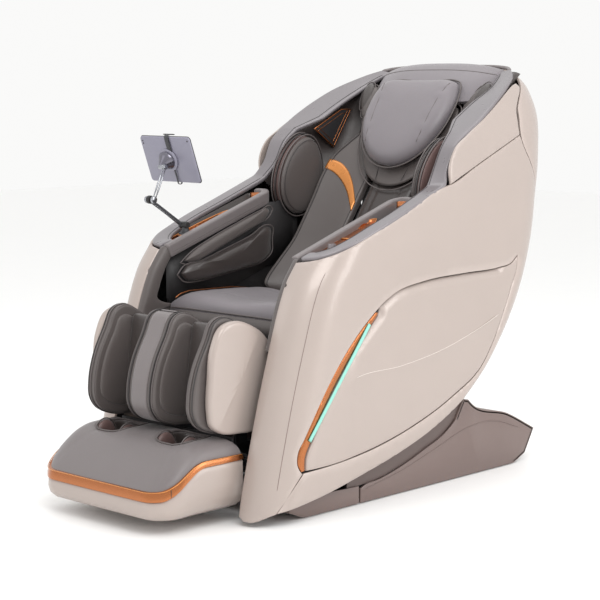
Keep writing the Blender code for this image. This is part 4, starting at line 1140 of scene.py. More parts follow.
# ---- Pads beside the head --------------------------------------------------------------
for word, side in SIDES:
    for number, (x, t, lift, size, turn) in enumerate(((0.200, 1.078, 0.026, 0.070, 4),
                                                       (0.217, 1.094, 0.030, 0.066, 8),
                                                       (0.233, 1.108, 0.034, 0.058, 12)), 1):
        oval = []
        for i in range(28):
            a = 2 * math.pi * i / 28
            u = 0.026 * math.cos(a) * (1 + 0.15 * math.sin(a))
            v = size * math.sin(a)
            r = math.radians(turn)
            oval.append((u * math.cos(r) + v * math.sin(r) * 0.4, v * math.cos(r)))

        def on_side(u, v, h, x=x, t=t, lift=lift):
            return mirror(on_back(x + u, t + v * BACK_DZ, lift + h), side)

        cushion("head_leaf_%s_%d" % (word, number), oval, on_side,
                leather if number < 3 else leather_dark, "chair", front=0.010,
                back=0.010, rings=6)
        tube("head_leaf_piping_%s_%d" % (word, number), [on_side(u, v, 0.001) for u, v in oval],
             0.0016, piping, "chair", closed=True)

# ---- Shoulder air pads -----------------------------------------------------------------
for word, side in SIDES:
    oval = []
    for i in range(40):
        a = 2 * math.pi * i / 40
        u = 0.138 * math.cos(a)
        v = 0.100 * math.sin(a) * (1 - 0.10 * math.cos(a))
        oval.append((0.338 + 0.342 * u + 0.940 * v, 0.882 + 0.940 * u - 0.342 * v))
    oval = np.array(oval)
    middle = oval.mean(0)
    layers = (("back", 0.298, 1.0, 0.006, leather_mauve), ("mid", 0.286, 0.975, 0.010, leather_mauve),
              ("front", 0.271, 0.95, 0.0165, leather))
    for layer, x, k, depth, paint in layers:
        shape = middle + (oval - middle) * k

        def on_wall(u, v, h, x=x):
            return mirror((x - h, u, v), side)

        piece = cushion("shoulder_%s_%s" % (layer, word), shape, on_wall, paint, "chair",
                        front=depth, back=0.006, power=2.4, rings=9)
        if layer == "front":
            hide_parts("shoulder_pad_" + word)
        tube("shoulder_piping_%s_%s" % (layer, word), [on_wall(u, v, 0.0) for u, v in shape],
             0.0022, piping if layer != "mid" else piping_dark, "chair",
             closed=True)
    seam = middle + (oval - middle) * 0.83
    tube("shoulder_seam_" + word, [on_wall(u, v, 0.0138) for u, v in seam], 0.0011,
         piping_dark, "chair", closed=True)

# ---- Speakers --------------------------------------------------------------------------
for word, side in SIDES:
    shape = spline([(0.402, 1.027), (0.504, 1.080), (0.540, 1.080), (0.474, 0.974)], 0.006,
                   closed=True, sharp=10)
    shape = np.array((0.402, 1.027)) + (shape - (0.402, 1.027)) * (1.22, 1.12)
    piece = slab("speaker_mesh_" + word, shape, 0.2725, 0.283, mesh_black, "chair",
                 side, rounding=0.003)
    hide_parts("speaker_" + word)
    for gap, size, x in ((0.0, 0.0026, 0.2745), (0.012, 0.0012, 0.2728)):
        ring = inset(shape, gap)
        tube("speaker_rim_%s_%d" % (word, int(gap * 1000)), mirror([(x, a, b) for a, b in ring], side),
             size, copper, "chair", closed=True)

# ---- Armrests --------------------------------------------------------------------------
beam_section = rounded(0.0125, 0.0205, 0.007)
for word, side in SIDES:
    path = []
    for y in np.concatenate([np.linspace(-0.244, -0.236, 3), np.linspace(-0.22, 0.150, 30)]):
        path.append((0.2605, y, arm_top(y) - 0.0185))
    for a in np.linspace(10, 90, 9):
        r = math.radians(a)
        path.append((0.2605 + 0.030 * (1 - math.cos(r)), 0.150 + 0.030 * math.sin(r),
                     arm_top(0.150 + 0.030 * math.sin(r)) - 0.0185))
    path += [(0.300, 0.180, arm_top(0.18) - 0.0185), (0.318, 0.180, arm_top(0.18) - 0.0185)]
    path = np.array(path)
    way = np.gradient(path, axis=0)
    rings = []
    for p, t in zip(path, way):
        t = t / np.linalg.norm(t)
        u = np.cross(t, (0, 0, 1))
        u /= np.linalg.norm(u)
        v = np.cross(u, t)
        rings.append(mirror([p + u * a + v * b for a, b in beam_section], side))
    beam = loft("arm_beam_" + word, rings, leather_mid, "chair", subdivide=1)
    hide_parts("armrest_" + word)
    for height in (-0.006, -0.012):
        line = [mirror((0.2481, y, arm_top(y) - 0.0185 + height), side)
                for y in np.linspace(-0.235, 0.15, 30)]
        tube("arm_line_%s_%d" % (word, int(-height * 1000)), line, 0.0008, piping, "chair")
    rings = []
    for y in np.linspace(-0.236, 0.172, 22):
        section = [(0.268, -0.030), (0.280, -0.0325), (0.300, -0.0335), (0.318, -0.0325),
                   (0.331, -0.024), (0.337, -0.006), (0.3385, -0.006), (0.333, -0.028),
                   (0.318, -0.036), (0.280, -0.036)]
        rings.append(mirror([(a, y, arm_top(y) + b) for a, b in section], side))
    loft("arm_well_" + word, rings, leather_dark, "chair", subdivide=1)
    rings = []
    for y, drop in ((-0.236, 0.12), (-0.20, 0.17), (0.0, 0.20), (0.18, 0.20), (0.30, 0.18)):
        top = arm_top(min(y, 0.18)) - 0.040
        rings.append(mirror([(0.2745, y, top), (0.2745, y, top - drop), (0.2775, y, top - drop),
                             (0.2775, y, top)], side))
    loft("arm_skirt_" + word, rings, black, "chair")
    # copper dish with its bright rim
    dish = [(0.271, -0.205), (0.285, -0.214), (0.305, -0.214), (0.321, -0.200), (0.3245, -0.160)]
    dish += [(0.3235, -0.090), (0.3180, -0.020), (0.305, 0.035), (0.290, 0.058), (0.276, 0.052)]
    dish += [(0.2705, 0.010), (0.2695, -0.100)]
    dish = spline(dish, 0.008, closed=True, sharp=80)
    rings = []
    for gap, z in ((0.0, -0.018), (0.0, -0.0125), (0.0012, -0.0118), (0.0026, -0.0125),
                   (0.0040, -0.0200), (0.0060, -0.0235), (0.0100, -0.0250)):
        ring = inset(dish, gap)
        rings.append(mirror([(a, b, arm_top(b) + z) for a, b in ring], side))
    tray = loft("arm_dish_" + word, rings, copper, "chair", sharp=50)
    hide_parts("arm_tray_" + word)
    tube("arm_dish_rim_" + word, mirror([(a, b, arm_top(b) - 0.0118) for a, b in inset(dish, 0.001)],
                                        side), 0.0012, gold, "chair", closed=True)
    bar = [mirror((x, -0.075, arm_top(-0.075) - 0.016), side) for x in np.linspace(0.2725, 0.3205, 8)]
    tube("arm_dish_bar_" + word, bar, 0.0026, gold, "chair")
    rings = []
    for a in np.linspace(0, 1, 9):
        x = 0.274 + 0.048 * a
        y = 0.1585 + 0.006 * math.sin(math.pi * a)
        rings.append(mirror([(x, y, arm_top(y) - 0.029), (x, y + 0.004, arm_top(y) - 0.029),
                             (x, y + 0.004, arm_top(y) - 0.004), (x, y, arm_top(y) - 0.004)], side))
    loft("arm_end_strip_" + word, rings, copper, "chair")
    # leather band down the inside of the arm's front edge, wider beside the seat
    rings = []
    for z in np.linspace(0.452, 0.697, 34):
        front = float(front_at(z))
        open_at = np.clip((z - 0.520) / 0.035, 0, 1)
        reach = 0.045 + (0.16 + 0.10 * (0.56 - z)) * (1 - math.sqrt(max(0.0, 1 - (1 - open_at) ** 2)))
        section = [(0.281, front + 0.006), (0.2765, front + 0.0015), (0.268, front + 0.002),
                   (0.2585, front + 0.007), (0.2535, front + 0.018), (0.2525, front + reach),
                   (0.2555, front + reach + 0.002), (0.258, front + reach), (0.259, front + 0.022),
                   (0.266, front + 0.012)]
        rings.append(mirror([(a, b, z) for a, b in section], side))
    loft("arm_front_band_" + word, rings, leather, "chair", subdivide=1)
    line = [mirror([(0.2521, float(front_at(z)) + 0.030 + 0.11 * t, z)], side)[0]
            for t, z in zip(np.linspace(0, 1, 16), np.linspace(0.505, 0.528, 16))]
    tube("arm_band_seam_" + word, line, 0.0010, piping_dark, "chair")
    # dark lining of the well beside the seat
    rings = []
    for y in np.linspace(-0.225, 0.330, 12):
        top = arm_top(y) - 0.06
        rings.append(mirror([(0.282, y, 0.462), (0.282, y, top), (0.285, y, top), (0.285, y, 0.462)],
                            side))
    loft("inner_lining_" + word, rings, black, "chair")

    def on_arm(u, v, h):
        return mirror((0.2455 - h, u, v), side)

    upper = [(-0.193, 0.648), (-0.160, 0.671), (-0.080, 0.706), (0.020, 0.741), (0.120, 0.773)]
    upper += [(0.160, 0.783), (0.170, 0.774), (0.158, 0.757), (0.100, 0.732), (0.000, 0.696)]
    upper += [(-0.100, 0.660), (-0.165, 0.641)]
    upper = spline(upper, 0.009, closed=True, sharp=80)
    upper = upper.mean(0) + (upper - upper.mean(0)) * (1.07, 1.10) + (-0.002, 0.004)
    top_pad = cushion("arm_pad_upper_" + word, upper, on_arm, leather, "chair",
                      front=0.016, back=0.014, rings=7)
    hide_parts("arm_pad_" + word)
    tube("arm_pad_piping_" + word, [on_arm(u, v, 0.001) for u, v in upper], 0.0018, piping,
         "chair", closed=True)
    lower = [(-0.212, 0.612), (-0.190, 0.634), (-0.120, 0.647), (-0.020, 0.676), (0.080, 0.707)]
    lower += [(0.150, 0.735), (0.170, 0.730), (0.171, 0.690), (0.168, 0.650), (0.140, 0.630)]
    lower += [(0.040, 0.610), (-0.060, 0.596), (-0.140, 0.587), (-0.190, 0.592)]
    lower = spline(lower, 0.009, closed=True, sharp=80)
    lower = lower.mean(0) + (lower - lower.mean(0)) * (1.04, 1.02)

    def folds(u, v, share):
        bend = 0.0035 * math.sin((u * 0.9 + v * 2.2) * 42) * math.exp(-((u + 0.13) / 0.06) ** 2)
        return bend * min(1.0, share * 2)

    cushion("arm_pad_lower_" + word, lower, on_arm, leather_dark, "chair",
            front=0.028, back=0.014, rings=9, relief=folds)
    tube("arm_pad_low_piping_" + word, [on_arm(u, v, 0.001) for u, v in lower], 0.0020, piping,
         "chair", closed=True)

# ---- Leg rest --------------------------------------------------------------------------
calf = [(-0.470, 0.552), (-0.500, 0.544), (-0.530, 0.493), (-0.568, 0.420), (-0.586, 0.345)]
calf += [(-0.585, 0.305), (-0.565, 0.272), (-0.520, 0.250), (-0.440, 0.240), (-0.4115, 0.360)]
calf += [(-0.361, 0.498), (-0.407, 0.523), (-0.440, 0.543)]
calf_line = spline(calf, 0.012, closed=True, sharp=58)
for word, side in SIDES:
    wall = slab("calf_wall_" + word, calf_line, 0.1855, 0.2180, leather, "leg", side,
                rounding=0.0075, crown=0.001, subdivide=1)
    if side > 0:
        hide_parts("calf_rest")
    for gap, x, size, paint in ((0.0055, 0.1900, 0.0021, piping), (0.0022, 0.2020, 0.0021, piping),
                                (0.0040, 0.2120, 0.0019, piping_dark)):
        ring = inset(calf_line, gap - 0.0040)
        tube("calf_wall_piping_%s_%d" % (word, int(x * 1000)), mirror([(x, a, b) for a, b in ring], side),
             size, paint, "leg", closed=True)
    # leather liner on the channel's outer wall: a pad
    ring = inset(calf_line, 0.014)

    def on_wall(u, v, h):
        return mirror((0.1865 - h, u, v), side)

    cushion("calf_side_pad_" + word, ring, on_wall, leather, "leg", front=0.010,
            back=0.004, power=2.2, rings=7, middle=(-0.500, 0.390))
    # pad at the bottom of the channel, behind the calf
    rings = []
    for x in np.linspace(-1, 1, 15):
        ring = []
        away = abs(x) ** 6
        for z in np.linspace(0.248, 0.530, 18):
            y = float(np.interp(z, [0.24, 0.30, 0.40, 0.52, 0.55],
                                [-0.474, -0.480, -0.474, -0.455, -0.440]))
            y += 0.008 * away + 0.006 * math.cos(x * 1.57) * math.cos((z - 0.39) / 0.29 * 3.1) * 0.4
            ring.append((0.1235 + x * 0.0590, y - 0.002, z))
        for z in np.linspace(0.522, 0.256, 10):
            ring.append((0.1235 + x * 0.0590, float(np.interp(z, [0.24, 0.55], [-0.448, -0.414])), z))
        rings.append(mirror(ring, side))
    channel = loft("calf_channel_" + word, rings, leather_dark, "leg", subdivide=1)
    # hard shell with a soft diagonal crease
    shell_line = [(-0.551, 0.305), (-0.548, 0.395), (-0.535, 0.480), (-0.503, 0.532), (-0.452, 0.544)]
    shell_line += [(-0.394, 0.527), (-0.340, 0.490), (-0.318, 0.452), (-0.316, 0.400), (-0.336, 0.330)]
    shell_line += [(-0.362, 0.262), (-0.386, 0.240), (-0.440, 0.2385), (-0.510, 0.248), (-0.543, 0.270)]
    shell_line = spline(shell_line, 0.009, closed=True, sharp=80)

    def crease_at(a, b):
        level = (b - 0.300) - (a + 0.500) * 1.55
        return 0.0025 * math.exp(-abs(level) / 0.05) * (1 if level > 0 else 0.75)

    cover = slab("calf_cover_" + word, shell_line, 0.2200, 0.2470, beige, "leg", side,
                 rounding=0.010, crown=0.0015, subdivide=1, relief=crease_at)
    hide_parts("calf_shell_" + word)
slab("calf_divider", inset(calf_line, 0.002), -0.0600, 0.0600, leather, "leg",
     rounding=0.010, crown=0.002, subdivide=1)
for s, word in ((1, "left"), (-1, "right")):
    for x, gap in ((0.0500, -0.0012), (0.0430, -0.0016)):
        ring = inset(calf_line, 0.002 + gap + (0.0010 if x > 0.045 else 0.0))
        tube("calf_divider_piping_%s_%d" % (word, int(x * 1000)), [(s * x, a, b) for a, b in ring],
             0.0021, piping if x > 0.045 else piping_dark, "leg", closed=True)
    ring = inset(calf_line, 0.016)

    def on_middle(u, v, h):
        return np.array([s * (0.0600 + h), u, v])

    cushion("calf_inner_pad_" + word, ring, on_middle, leather if s > 0 else leather_mauve, "leg",
            front=0.007, back=0.004, power=2.2, rings=7, middle=(-0.500, 0.390))
band = []
for x in np.linspace(-0.030, 0.030, 9):
    row = []
    ring = inset(calf_line, -0.0004)
    keep = ring[ring[:, 0] < -0.455]
    keep = keep[np.argsort(-keep[:, 1])]
    for a, b in keep:
        row.append((x, a, b))
    for a, b in keep[::-1]:
        row.append((x, a + 0.004, b))
    band.append(row)
stripe = loft("calf_divider_band", band, leather_mid, "leg")
# cheeks that fill the calf rest behind its cover: the leather body is real, its darker tone is painted
# shade
cheek = [(-0.436, 0.244), (-0.404, 0.250), (-0.372, 0.340), (-0.340, 0.420), (-0.328, 0.470)]
cheek += [(-0.345, 0.492), (-0.366, 0.494), (-0.412, 0.362)]
for word, side in SIDES:
    slab("calf_cheek_" + word, spline(cheek, 0.012, closed=True, sharp=80), 0.1640, 0.2165, leather_dark,
         "leg", side, rounding=0.006, subdivide=1)

# ---- Footrest --------------------------------------------------------------------------
FOOT_HALF = 0.260
FOOT_FRONT = -0.739
FOOT_ROUND = 0.080
strip_low = curve([(-0.745, 0.0930), (-0.715, 0.0975), (-0.690, 0.111), (-0.640, 0.146),
                   (-0.608, 0.165), (-0.580, 0.1715), (-0.440, 0.1715)])
strip_high = curve([(-0.745, 0.1195), (-0.715, 0.1240), (-0.690, 0.136), (-0.640, 0.167),
                    (-0.608, 0.183), (-0.580, 0.1880), (-0.440, 0.1870)])


def plan(shift):
    """Plan of the footrest from its rear left corner round the front to the right."""
    step = 0.010
    half = FOOT_HALF - shift
    front = FOOT_FRONT + shift
    radius = FOOT_ROUND - shift * 0.4
    line = [(half, y) for y in np.arange(-0.4465, front + radius, -step)]
    for a in np.linspace(0, 90, 15):
        r = math.radians(a)
        line.append((half - radius + radius * math.cos(r), front + radius - radius * math.sin(r)))
    line += [(x, front) for x in np.arange(half - radius - step, 0.001, -step)]
    line.append((0.0, front))
    whole = line + [(-x, y) for x, y in line[:-1][::-1]]
    return np.array(whole)


def plan_ring(shift):
    line = plan(shift)
    run = np.concatenate([[0], np.cumsum(np.linalg.norm(np.diff(line, axis=0), axis=1))])
    where = np.linspace(0, run[-1], 150)
    return np.stack([np.interp(where, run, line[:, k]) for k in range(2)], 1)


def bow(x):
    """The front edge bows forward a little in the middle."""
    return -0.004 * (1 - (x / FOOT_HALF) ** 2)


rings = []
for share, shift in ((0.0, 0.075), (0.01, 0.055), (0.05, 0.030), (0.16, 0.013), (0.34, 0.004),
                     (0.60, 0.001), (0.85, 0.0018), (0.985, 0.0026), (1.0, 0.0040), (1.0, 0.020)):
    ring = []
    for x, y in plan_ring(shift):
        top = float(strip_low(y)) - 0.0006
        z = 0.036 + (top - 0.036) * share
        ring.append((x, y + bow(x) * 0.5, z))
    rings.append(ring)
tub = loft("foot_tub", rings, beige, "foot", sharp=60)
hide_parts("footrest_shell")
rings = []
for share, shift in ((0.02, 0.010), (0.02, 0.0010), (0.06, -0.0006), (0.5, -0.0010), (0.94, 0.0010),
                     (0.98, 0.0030), (0.98, 0.012)):
    ring = []
    for x, y in plan_ring(shift + 0.0016 * share):
        low = float(strip_low(y))
        high = float(strip_high(y))
        ring.append((x, y + bow(x) * 0.5, low + (high - low) * share))
    rings.append(ring)
band = loft("foot_stripe", rings, copper, "foot", caps=False, sharp=40)
thick = band.modifiers.new("thickness", "SOLIDIFY")
thick.thickness = 0.002
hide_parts("footrest_trim")
for s, word in ((1, "left"), (-1, "right")):
    line = []
    for share in np.linspace(0.05, 0.95, 6):
        y = -0.697
        low = float(strip_low(y))
        high = float(strip_high(y))
        x = FOOT_HALF - FOOT_ROUND + math.sqrt(FOOT_ROUND ** 2 - (FOOT_FRONT + FOOT_ROUND - y) ** 2)
        line.append((s * (x + 0.0004), y + bow(x) * 0.5, low + (high - low) * share))
    tube("foot_stripe_joint_" + word, line, 0.0009, black, "foot")

pad_profile = curve([(-0.735, 0.118), (-0.722, 0.129), (-0.700, 0.150), (-0.660, 0.184),
                     (-0.625, 0.210), (-0.600, 0.222), (-0.565, 0.230), (-0.500, 0.232),
                     (-0.462, 0.230), (-0.447, 0.222)])
well = []
for s in (1, -1):
    shape = rounded(0.058, 0.062, 0.040, 6) + np.array((s * 0.125, -0.5380))
    well.append(spline(shape, 0.010, closed=True, sharp=80))
outline = spline([(x, y) for x, y in plan_ring(0.0065)[::3]] + [(-0.2535, -0.4475)], 0.012,
                 closed=True, sharp=60)
points = [outline]
for k in (0.004, 0.010, 0.018, 0.028):
    ring = inset(outline, k)
    points.append(ring[inside(ring, outline) & (distance(ring, outline) > k * 0.9)])
edges = [(i, (i + 1) % len(outline)) for i in range(len(outline))]
flat = [outline] + well + points[1:]
start = len(outline)
for hole in well:
    edges += [(start + i, start + (i + 1) % len(hole)) for i in range(len(hole))]
    start += len(hole)
for hole in well:
    for k in (-0.004, -0.010):
        flat.append(inset(hole, k))
grid = np.array([(x, y) for x in np.arange(-0.24, 0.2401, 0.010)
                 for y in np.arange(-0.73, -0.449, 0.010)])
keep = inside(grid, outline) & (distance(grid, outline) > 0.034)
for hole in well:
    keep &= ~inside(grid, hole) & (distance(grid, hole) > 0.014)
flat.append(grid[keep])
flat = np.concatenate(flat)
result = geometry.delaunay_2d_cdt([Vector(p) for p in flat], edges, [], 0, 1e-7)
flat = np.array([(p.x, p.y) for p in result[0]])


def pad_height(flat):
    edge = distance(flat, outline)
    rise = (1 - (1 - np.clip(edge / 0.055, 0, 1)) ** 2.2) ** 0.5
    low = strip_high(flat[:, 1]) - 0.004
    top = pad_profile(flat[:, 1]) + 0.003 * np.cos(np.clip(np.abs(flat[:, 0]) / 0.24, 0, 1) * 1.57)
    height = low + np.maximum(0.004, top - low) * rise
    for hole in well:
        near = distance(flat, hole)
        height -= 0.008 * np.exp(-near / 0.006) * (flat[:, 1] > -0.62)
    for s in (1, -1):
        a = np.array((s * 0.150, -0.600))
        b = np.array((s * 0.205, -0.700))
        d = b - a
        t = np.clip(((flat - a) @ d) / (d @ d), 0, 1)
        near = np.linalg.norm(flat - (a + t[:, None] * d), axis=1)
        height -= 0.0016 * np.exp(-(near / 0.004) ** 2)
    return height


height = pad_height(flat)
top = np.stack([flat[:, 0], flat[:, 1] + np.array([bow(x) * 0.5 for x in flat[:, 0]]), height], 1)
bottom = np.stack([flat[:, 0], top[:, 1] + 0.004, np.maximum(0.112, height - 0.030)], 1)
bottom[:, 2] = np.minimum(bottom[:, 2], height - 0.006)
kept = []
for face in result[2]:
    middle = np.array([flat[list(face)].mean(0)])
    if inside(middle, outline)[0] and not any(inside(middle, hole)[0] for hole in well):
        kept.append(face)
pad = build("foot_pad", np.concatenate([top, bottom]), two_faces(kept, len(flat)), leather_mid,
            "foot", sharp=70)
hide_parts("footrest_pad")
# thin gold cord along the top edge of the stripe: a painted highlight on that edge
tube("foot_stripe_highlight_line", [(x, y, float(strip_high(y)) - 0.0005) for x, y in plan_ring(0.0008)], 0.0011,
     gold, "foot")
screen = [(-0.455, 0.120), (-0.449, 0.120), (-0.449, 0.228), (-0.455, 0.228)]
plate("foot_screen", [[(x, a, b) for a, b in screen] for x in np.linspace(-0.225, 0.225, 7)], black,
      "foot")
for s, word, hole in ((1, "left", well[0]), (-1, "right", well[1])):
    edge = inset(hole, -0.0015)
    rim = pad_height(edge)
    line = [(a, b + bow(a) * 0.5, h + 0.0035) for (a, b), h in zip(edge, rim)]
    tube("foot_well_piping_" + word, line, 0.0026, piping, "foot", closed=True)
    rings = []
    for gap, drop in ((-0.001, 0.004), (0.0006, 0.010), (0.002, 0.05), (0.005, 0.09), (0.012, 0.112),
                      (0.024, 0.118)):
        ring = inset(hole, gap)
        rings.append([(a, b + bow(a) * 0.5, max(0.102, h + 0.002 - drop))
                      for (a, b), h in zip(ring, rim)])
    lining = loft("foot_well_lining_" + word, rings, leather_dark, "foot", caps=False)
    lining.modifiers.new("thickness", "SOLIDIFY").thickness = 0.0015
    floor_shape = inset(hole, 0.010)

    def on_floor(u, v, h):
        return np.array([u, v, 0.104 + h])

    cushion("foot_sole_" + word, floor_shape, on_floor, leather_dark, "foot",
            front=0.012, back=0.002, rings=6)
    for t, (x0, way) in enumerate(((0.046, 1), (-0.046, -1))):
        oval = [(0.042 * math.cos(a), 0.050 * math.sin(a)) for a in np.linspace(0, FULL_TURN, 27)[:-1]]

        def on_cheek(u, v, h, x0=x0, way=way):
            return np.array([s * 0.125 + x0 + way * 0.004 - way * h, -0.5600 + u, 0.192 + v])

        cushion("foot_cheek_%s_%d" % (word, t), oval, on_cheek, leather_mauve, "foot",
                front=0.012, back=0.004, rings=6)
        tube("foot_cheek_piping_%s_%d" % (word, t), [on_cheek(u, v, 0.0) for u, v in oval], 0.0018,
             piping, "foot", closed=True)

# ---- Base covers -----------------------------------------------------------------------
BASE_HALF = 0.355
front_wall = [(-0.307, GROUND_GAP), (-0.0865, GROUND_GAP), (-0.0865, 0.0525), (-0.330, 0.0520)]
front_wall += [(-0.367, 0.046), (-0.367, 0.026)]
rear_wall = [(-0.0800, GROUND_GAP), (0.635, GROUND_GAP), (0.691, 0.026), (0.736, 0.099), (0.599, 0.164)]
rear_wall += [(0.419, 0.219), (0.404, 0.232), (0.380, 0.237), (0.345, 0.182), (0.300, 0.150)]
rear_wall += [(0.200, 0.112), (0.100, 0.080), (0.000, 0.058), (-0.060, 0.0515), (-0.080, 0.044)]


def hood(name, top_line, node, wall):
    """A moulded cover: its top strip with rolled side edges."""
    line = spline(top_line, 0.010, closed=False, sharp=26)
    way = np.gradient(line, axis=0)
    way /= np.linalg.norm(way, axis=1, keepdims=True)
    out = np.stack([-way[:, 1], way[:, 0]], 1)
    rings = []
    for x, gap in ((-1.0, 0.0036), (-0.9995, 0.0030), (-0.997, 0.0012), (-0.991, 0.0), (0.991, 0.0),
                   (0.997, 0.0012), (0.9995, 0.0030), (1.0, 0.0036)):
        outer = line - out * gap
        inner = line - out * wall
        rings.append([(x * BASE_HALF, a, b) for a, b in np.concatenate([outer, inner[::-1]])])
    piece = plate(name, rings, mauve, "base")
    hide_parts(node)
    return piece


for word, side in SIDES:
    for part, line, sharp in (("nose", front_wall, 30), ("flank", rear_wall, 24)):
        edge = spline(line, 0.010, closed=True, sharp=sharp)
        edge[:, 1] = np.maximum(edge[:, 1], GROUND_GAP)
        if np.sum(edge[:, 0] * np.roll(edge[:, 1], -1) - edge[:, 1] * np.roll(edge[:, 0], -1)) < 0:
            edge = edge[::-1]
        rings = []
        for x, gap in ((0.3485, 0.0005), (0.3530, 0.0), (0.3542, 0.0003), (0.3550, 0.0016)):
            rings.append([(x, a, b) for a, b in inset(edge, gap)])
        plate("base_%s_%s" % (part, word), rings, mauve, "base", side)
# darker copy of the mauve plastic for the inner skirt panel under the shell: its darkness is painted
# shade, not a different plastic
mauve_painted_shade = finish("mauve_painted_shade", rgb("5A4C48"), 0.45, grain=0.15, size=1500, vary=0.05, wear=0.3)
skirt = [(-0.130, 0.050), (0.000, 0.058), (0.100, 0.080), (0.300, 0.150), (0.345, 0.182)]
skirt += [(0.372, 0.228), (0.366, 0.268), (0.345, 0.262), (0.226, 0.205), (0.055, 0.146)]
skirt += [(-0.060, 0.112), (-0.125, 0.092)]
for word, side in SIDES:
    edge = spline(skirt, 0.012, closed=True, sharp=30)
    plate("base_skirt_" + word, [[(x, a, b) for a, b in edge] for x in (0.3440, 0.3475)],
          mauve_painted_shade, "base", side)
hood("base_front", [(-0.3015, 0.004), (-0.307, GROUND_GAP), (-0.367, 0.026), (-0.367, 0.046),
                    (-0.330, 0.0520), (-0.320, 0.0522)], "base_front_cover", 0.0040)
hood("base_hood", [(0.345, 0.182), (0.362, 0.210), (0.380, 0.237), (0.404, 0.232), (0.419, 0.219),
                   (0.599, 0.164), (0.736, 0.099), (0.691, 0.026), (0.635, GROUND_GAP)],
     "base_rear_cover", 0.0075)
for word, side in SIDES:
    line = [(0.3556, -0.060, 0.040), (0.3556, 0.10, 0.068), (0.3556, 0.25, 0.108), (0.3556, 0.40, 0.148),
            (0.3556, 0.52, 0.152), (0.3556, 0.66, 0.112)]
    line = spline(line, 0.012, closed=False, sharp=200)
    tube("base_crease_" + word, mirror(line, side), 0.0011, mauve, "base")
    lip = [(side * x, 0.392, 0.2372) for x in np.linspace(0.0, 0.345, 12)]
    tube("base_lip_" + word, lip, 0.0016, mauve, "base")

# ---- Tablet and its arm ----------------------------------------------------------------
POST = np.array([-0.297, -0.138, arm_top(-0.138) - 0.0203])
SHOULDER = POST + (0, 0, 0.034)
ELBOW = np.array([-0.330, -0.248, 0.830])
BALL = np.array([-0.330, -0.200, 0.935])
LEAN = math.radians(20)
FACE = np.array([0, math.cos(LEAN), math.sin(LEAN)])
UPWARD = np.array([0, -math.sin(LEAN), math.cos(LEAN)])
RIGHT = np.array([1.0, 0, 0])
SHEET = BALL + (0.004, 0, 0) + FACE * 0.030
case = rounded(0.108, 0.072, 0.010, 6)


def on_tablet(a, b, h):
    return SHEET + RIGHT * a + UPWARD * b + FACE * h


def slate(name, levels, paint):
    """A rounded sheet of the tablet; each level gives an inset and a height."""
    rings = [[on_tablet(a, b, h) for a, b in inset(case, gap)] for gap, h in levels]
    return loft(name, rings, paint, "clamp", sharp=50)


body = slate("tablet_body", ((0.0035, 0.0), (0.0012, 0.0004), (0.0003, 0.0014), (0.0, 0.0030),
                             (0.0, 0.0062), (0.0006, 0.0074), (0.0016, 0.0080)), tablet_back)
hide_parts("tablet")
slate("tablet_glass", ((0.0022, 0.0077), (0.0022, 0.0084), (0.0030, 0.0086)), glass)
tube("tablet_rim", [on_tablet(a, b, 0.0052) for a, b in inset(case, -0.0002)], 0.0012, black, "clamp",
     closed=True)
for number, (a, b) in enumerate(((-0.098, 0.058), (-0.098, 0.050), (0.098, 0.060))):
    lathe("tablet_spot_%d" % number, on_tablet(a, b, 0.0004), on_tablet(a, b, -0.0008),
          ((0, 0.0026), (0.6, 0.0026), (1, 0.0018)), black, "clamp", sides=16)


def knuckle(name, centre, half, radius, paint, body):
    a = np.array(centre) - (half, 0, 0)
    b = np.array(centre) + (half, 0, 0)
    return lathe(name, a, b, ((0, radius * 0.80), (0.06, radius * 0.94), (0.18, radius), (0.82, radius),
                              (0.94, radius * 0.94), (1, radius * 0.80)), paint, body, sides=32)


def flat_bar(name, a, b, wide, thick, paint, body):
    a = np.array(a)
    b = np.array(b)
    way = (b - a) / np.linalg.norm(b - a)
    u = np.array([1.0, 0, 0]) - way * way[0]
    u /= np.linalg.norm(u)
    v = np.cross(way, u)
    section = rounded(thick, wide, min(thick, wide) * 0.7, 4)
    rings = []
    for t in np.linspace(0, 1, 14):
        k = 0.88 + 0.12 * min(1, abs(t - 0.5) * 3)
        rings.append([a + (b - a) * t + u * p * k + v * q * k for p, q in section])
    return loft(name, rings, paint, body)


foot_piece = lathe("tablet_post", POST + (0, 0, 0.0035), POST + (0, 0, 0.030),
                   ((0, 0.0205), (0.10, 0.0210), (0.30, 0.0195), (0.42, 0.0140), (0.60, 0.0105),
                    (1, 0.0092)), steel_painted, "tablet_base")
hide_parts("tablet_arm_base")
knuckle("tablet_post_head", SHOULDER, 0.0103, 0.0110, black, "tablet_base")
ring = [POST + (0.0225 * math.cos(a), 0.0225 * math.sin(a), 0.0052)
        for a in np.linspace(0, FULL_TURN, 41)[:-1]]
tube("tablet_post_ring", ring, 0.0016, gold, "tablet_base", closed=True)
low_end = SHOULDER + (-0.016, 0, 0)
lower = flat_bar("tablet_lower_bar", low_end, ELBOW + (-0.002, 0, 0), 0.0058, 0.0042, steel_painted,
                 "lower_link")
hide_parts("tablet_lower_link")
knuckle("tablet_lower_eye", low_end, 0.0050, 0.0105, steel_painted, "lower_link")
knuckle("tablet_elbow_hub", ELBOW, 0.0068, 0.0122, black, "lower_link")
knuckle("tablet_elbow_cap", ELBOW - (0.0115, 0, 0), 0.0042, 0.0105, steel_bright, "lower_link")
for k in (-1, 1):
    way = (ELBOW - low_end) / np.linalg.norm(ELBOW - low_end)
    v = np.cross(way, (1, 0, 0))
    tube("tablet_lower_edge_%d" % (k + 1), [low_end + (ELBOW + (-0.002, 0, 0) - low_end) * t
                                             + (0.0040, 0, 0) + v * k * 0.0042
                                             for t in np.linspace(0.12, 0.86, 12)], 0.0009, steel_bright,
         "lower_link")
start = ELBOW + (0.0165, 0, 0)
stop = BALL + (0.0175, -0.004, -0.010)
link = knuckle("tablet_upper_eye", start, 0.0050, 0.0105, steel_bright, "upper_link")
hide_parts("tablet_upper_link")
way = (stop - start) / np.linalg.norm(stop - start)
v = np.cross(way, (1, 0, 0))
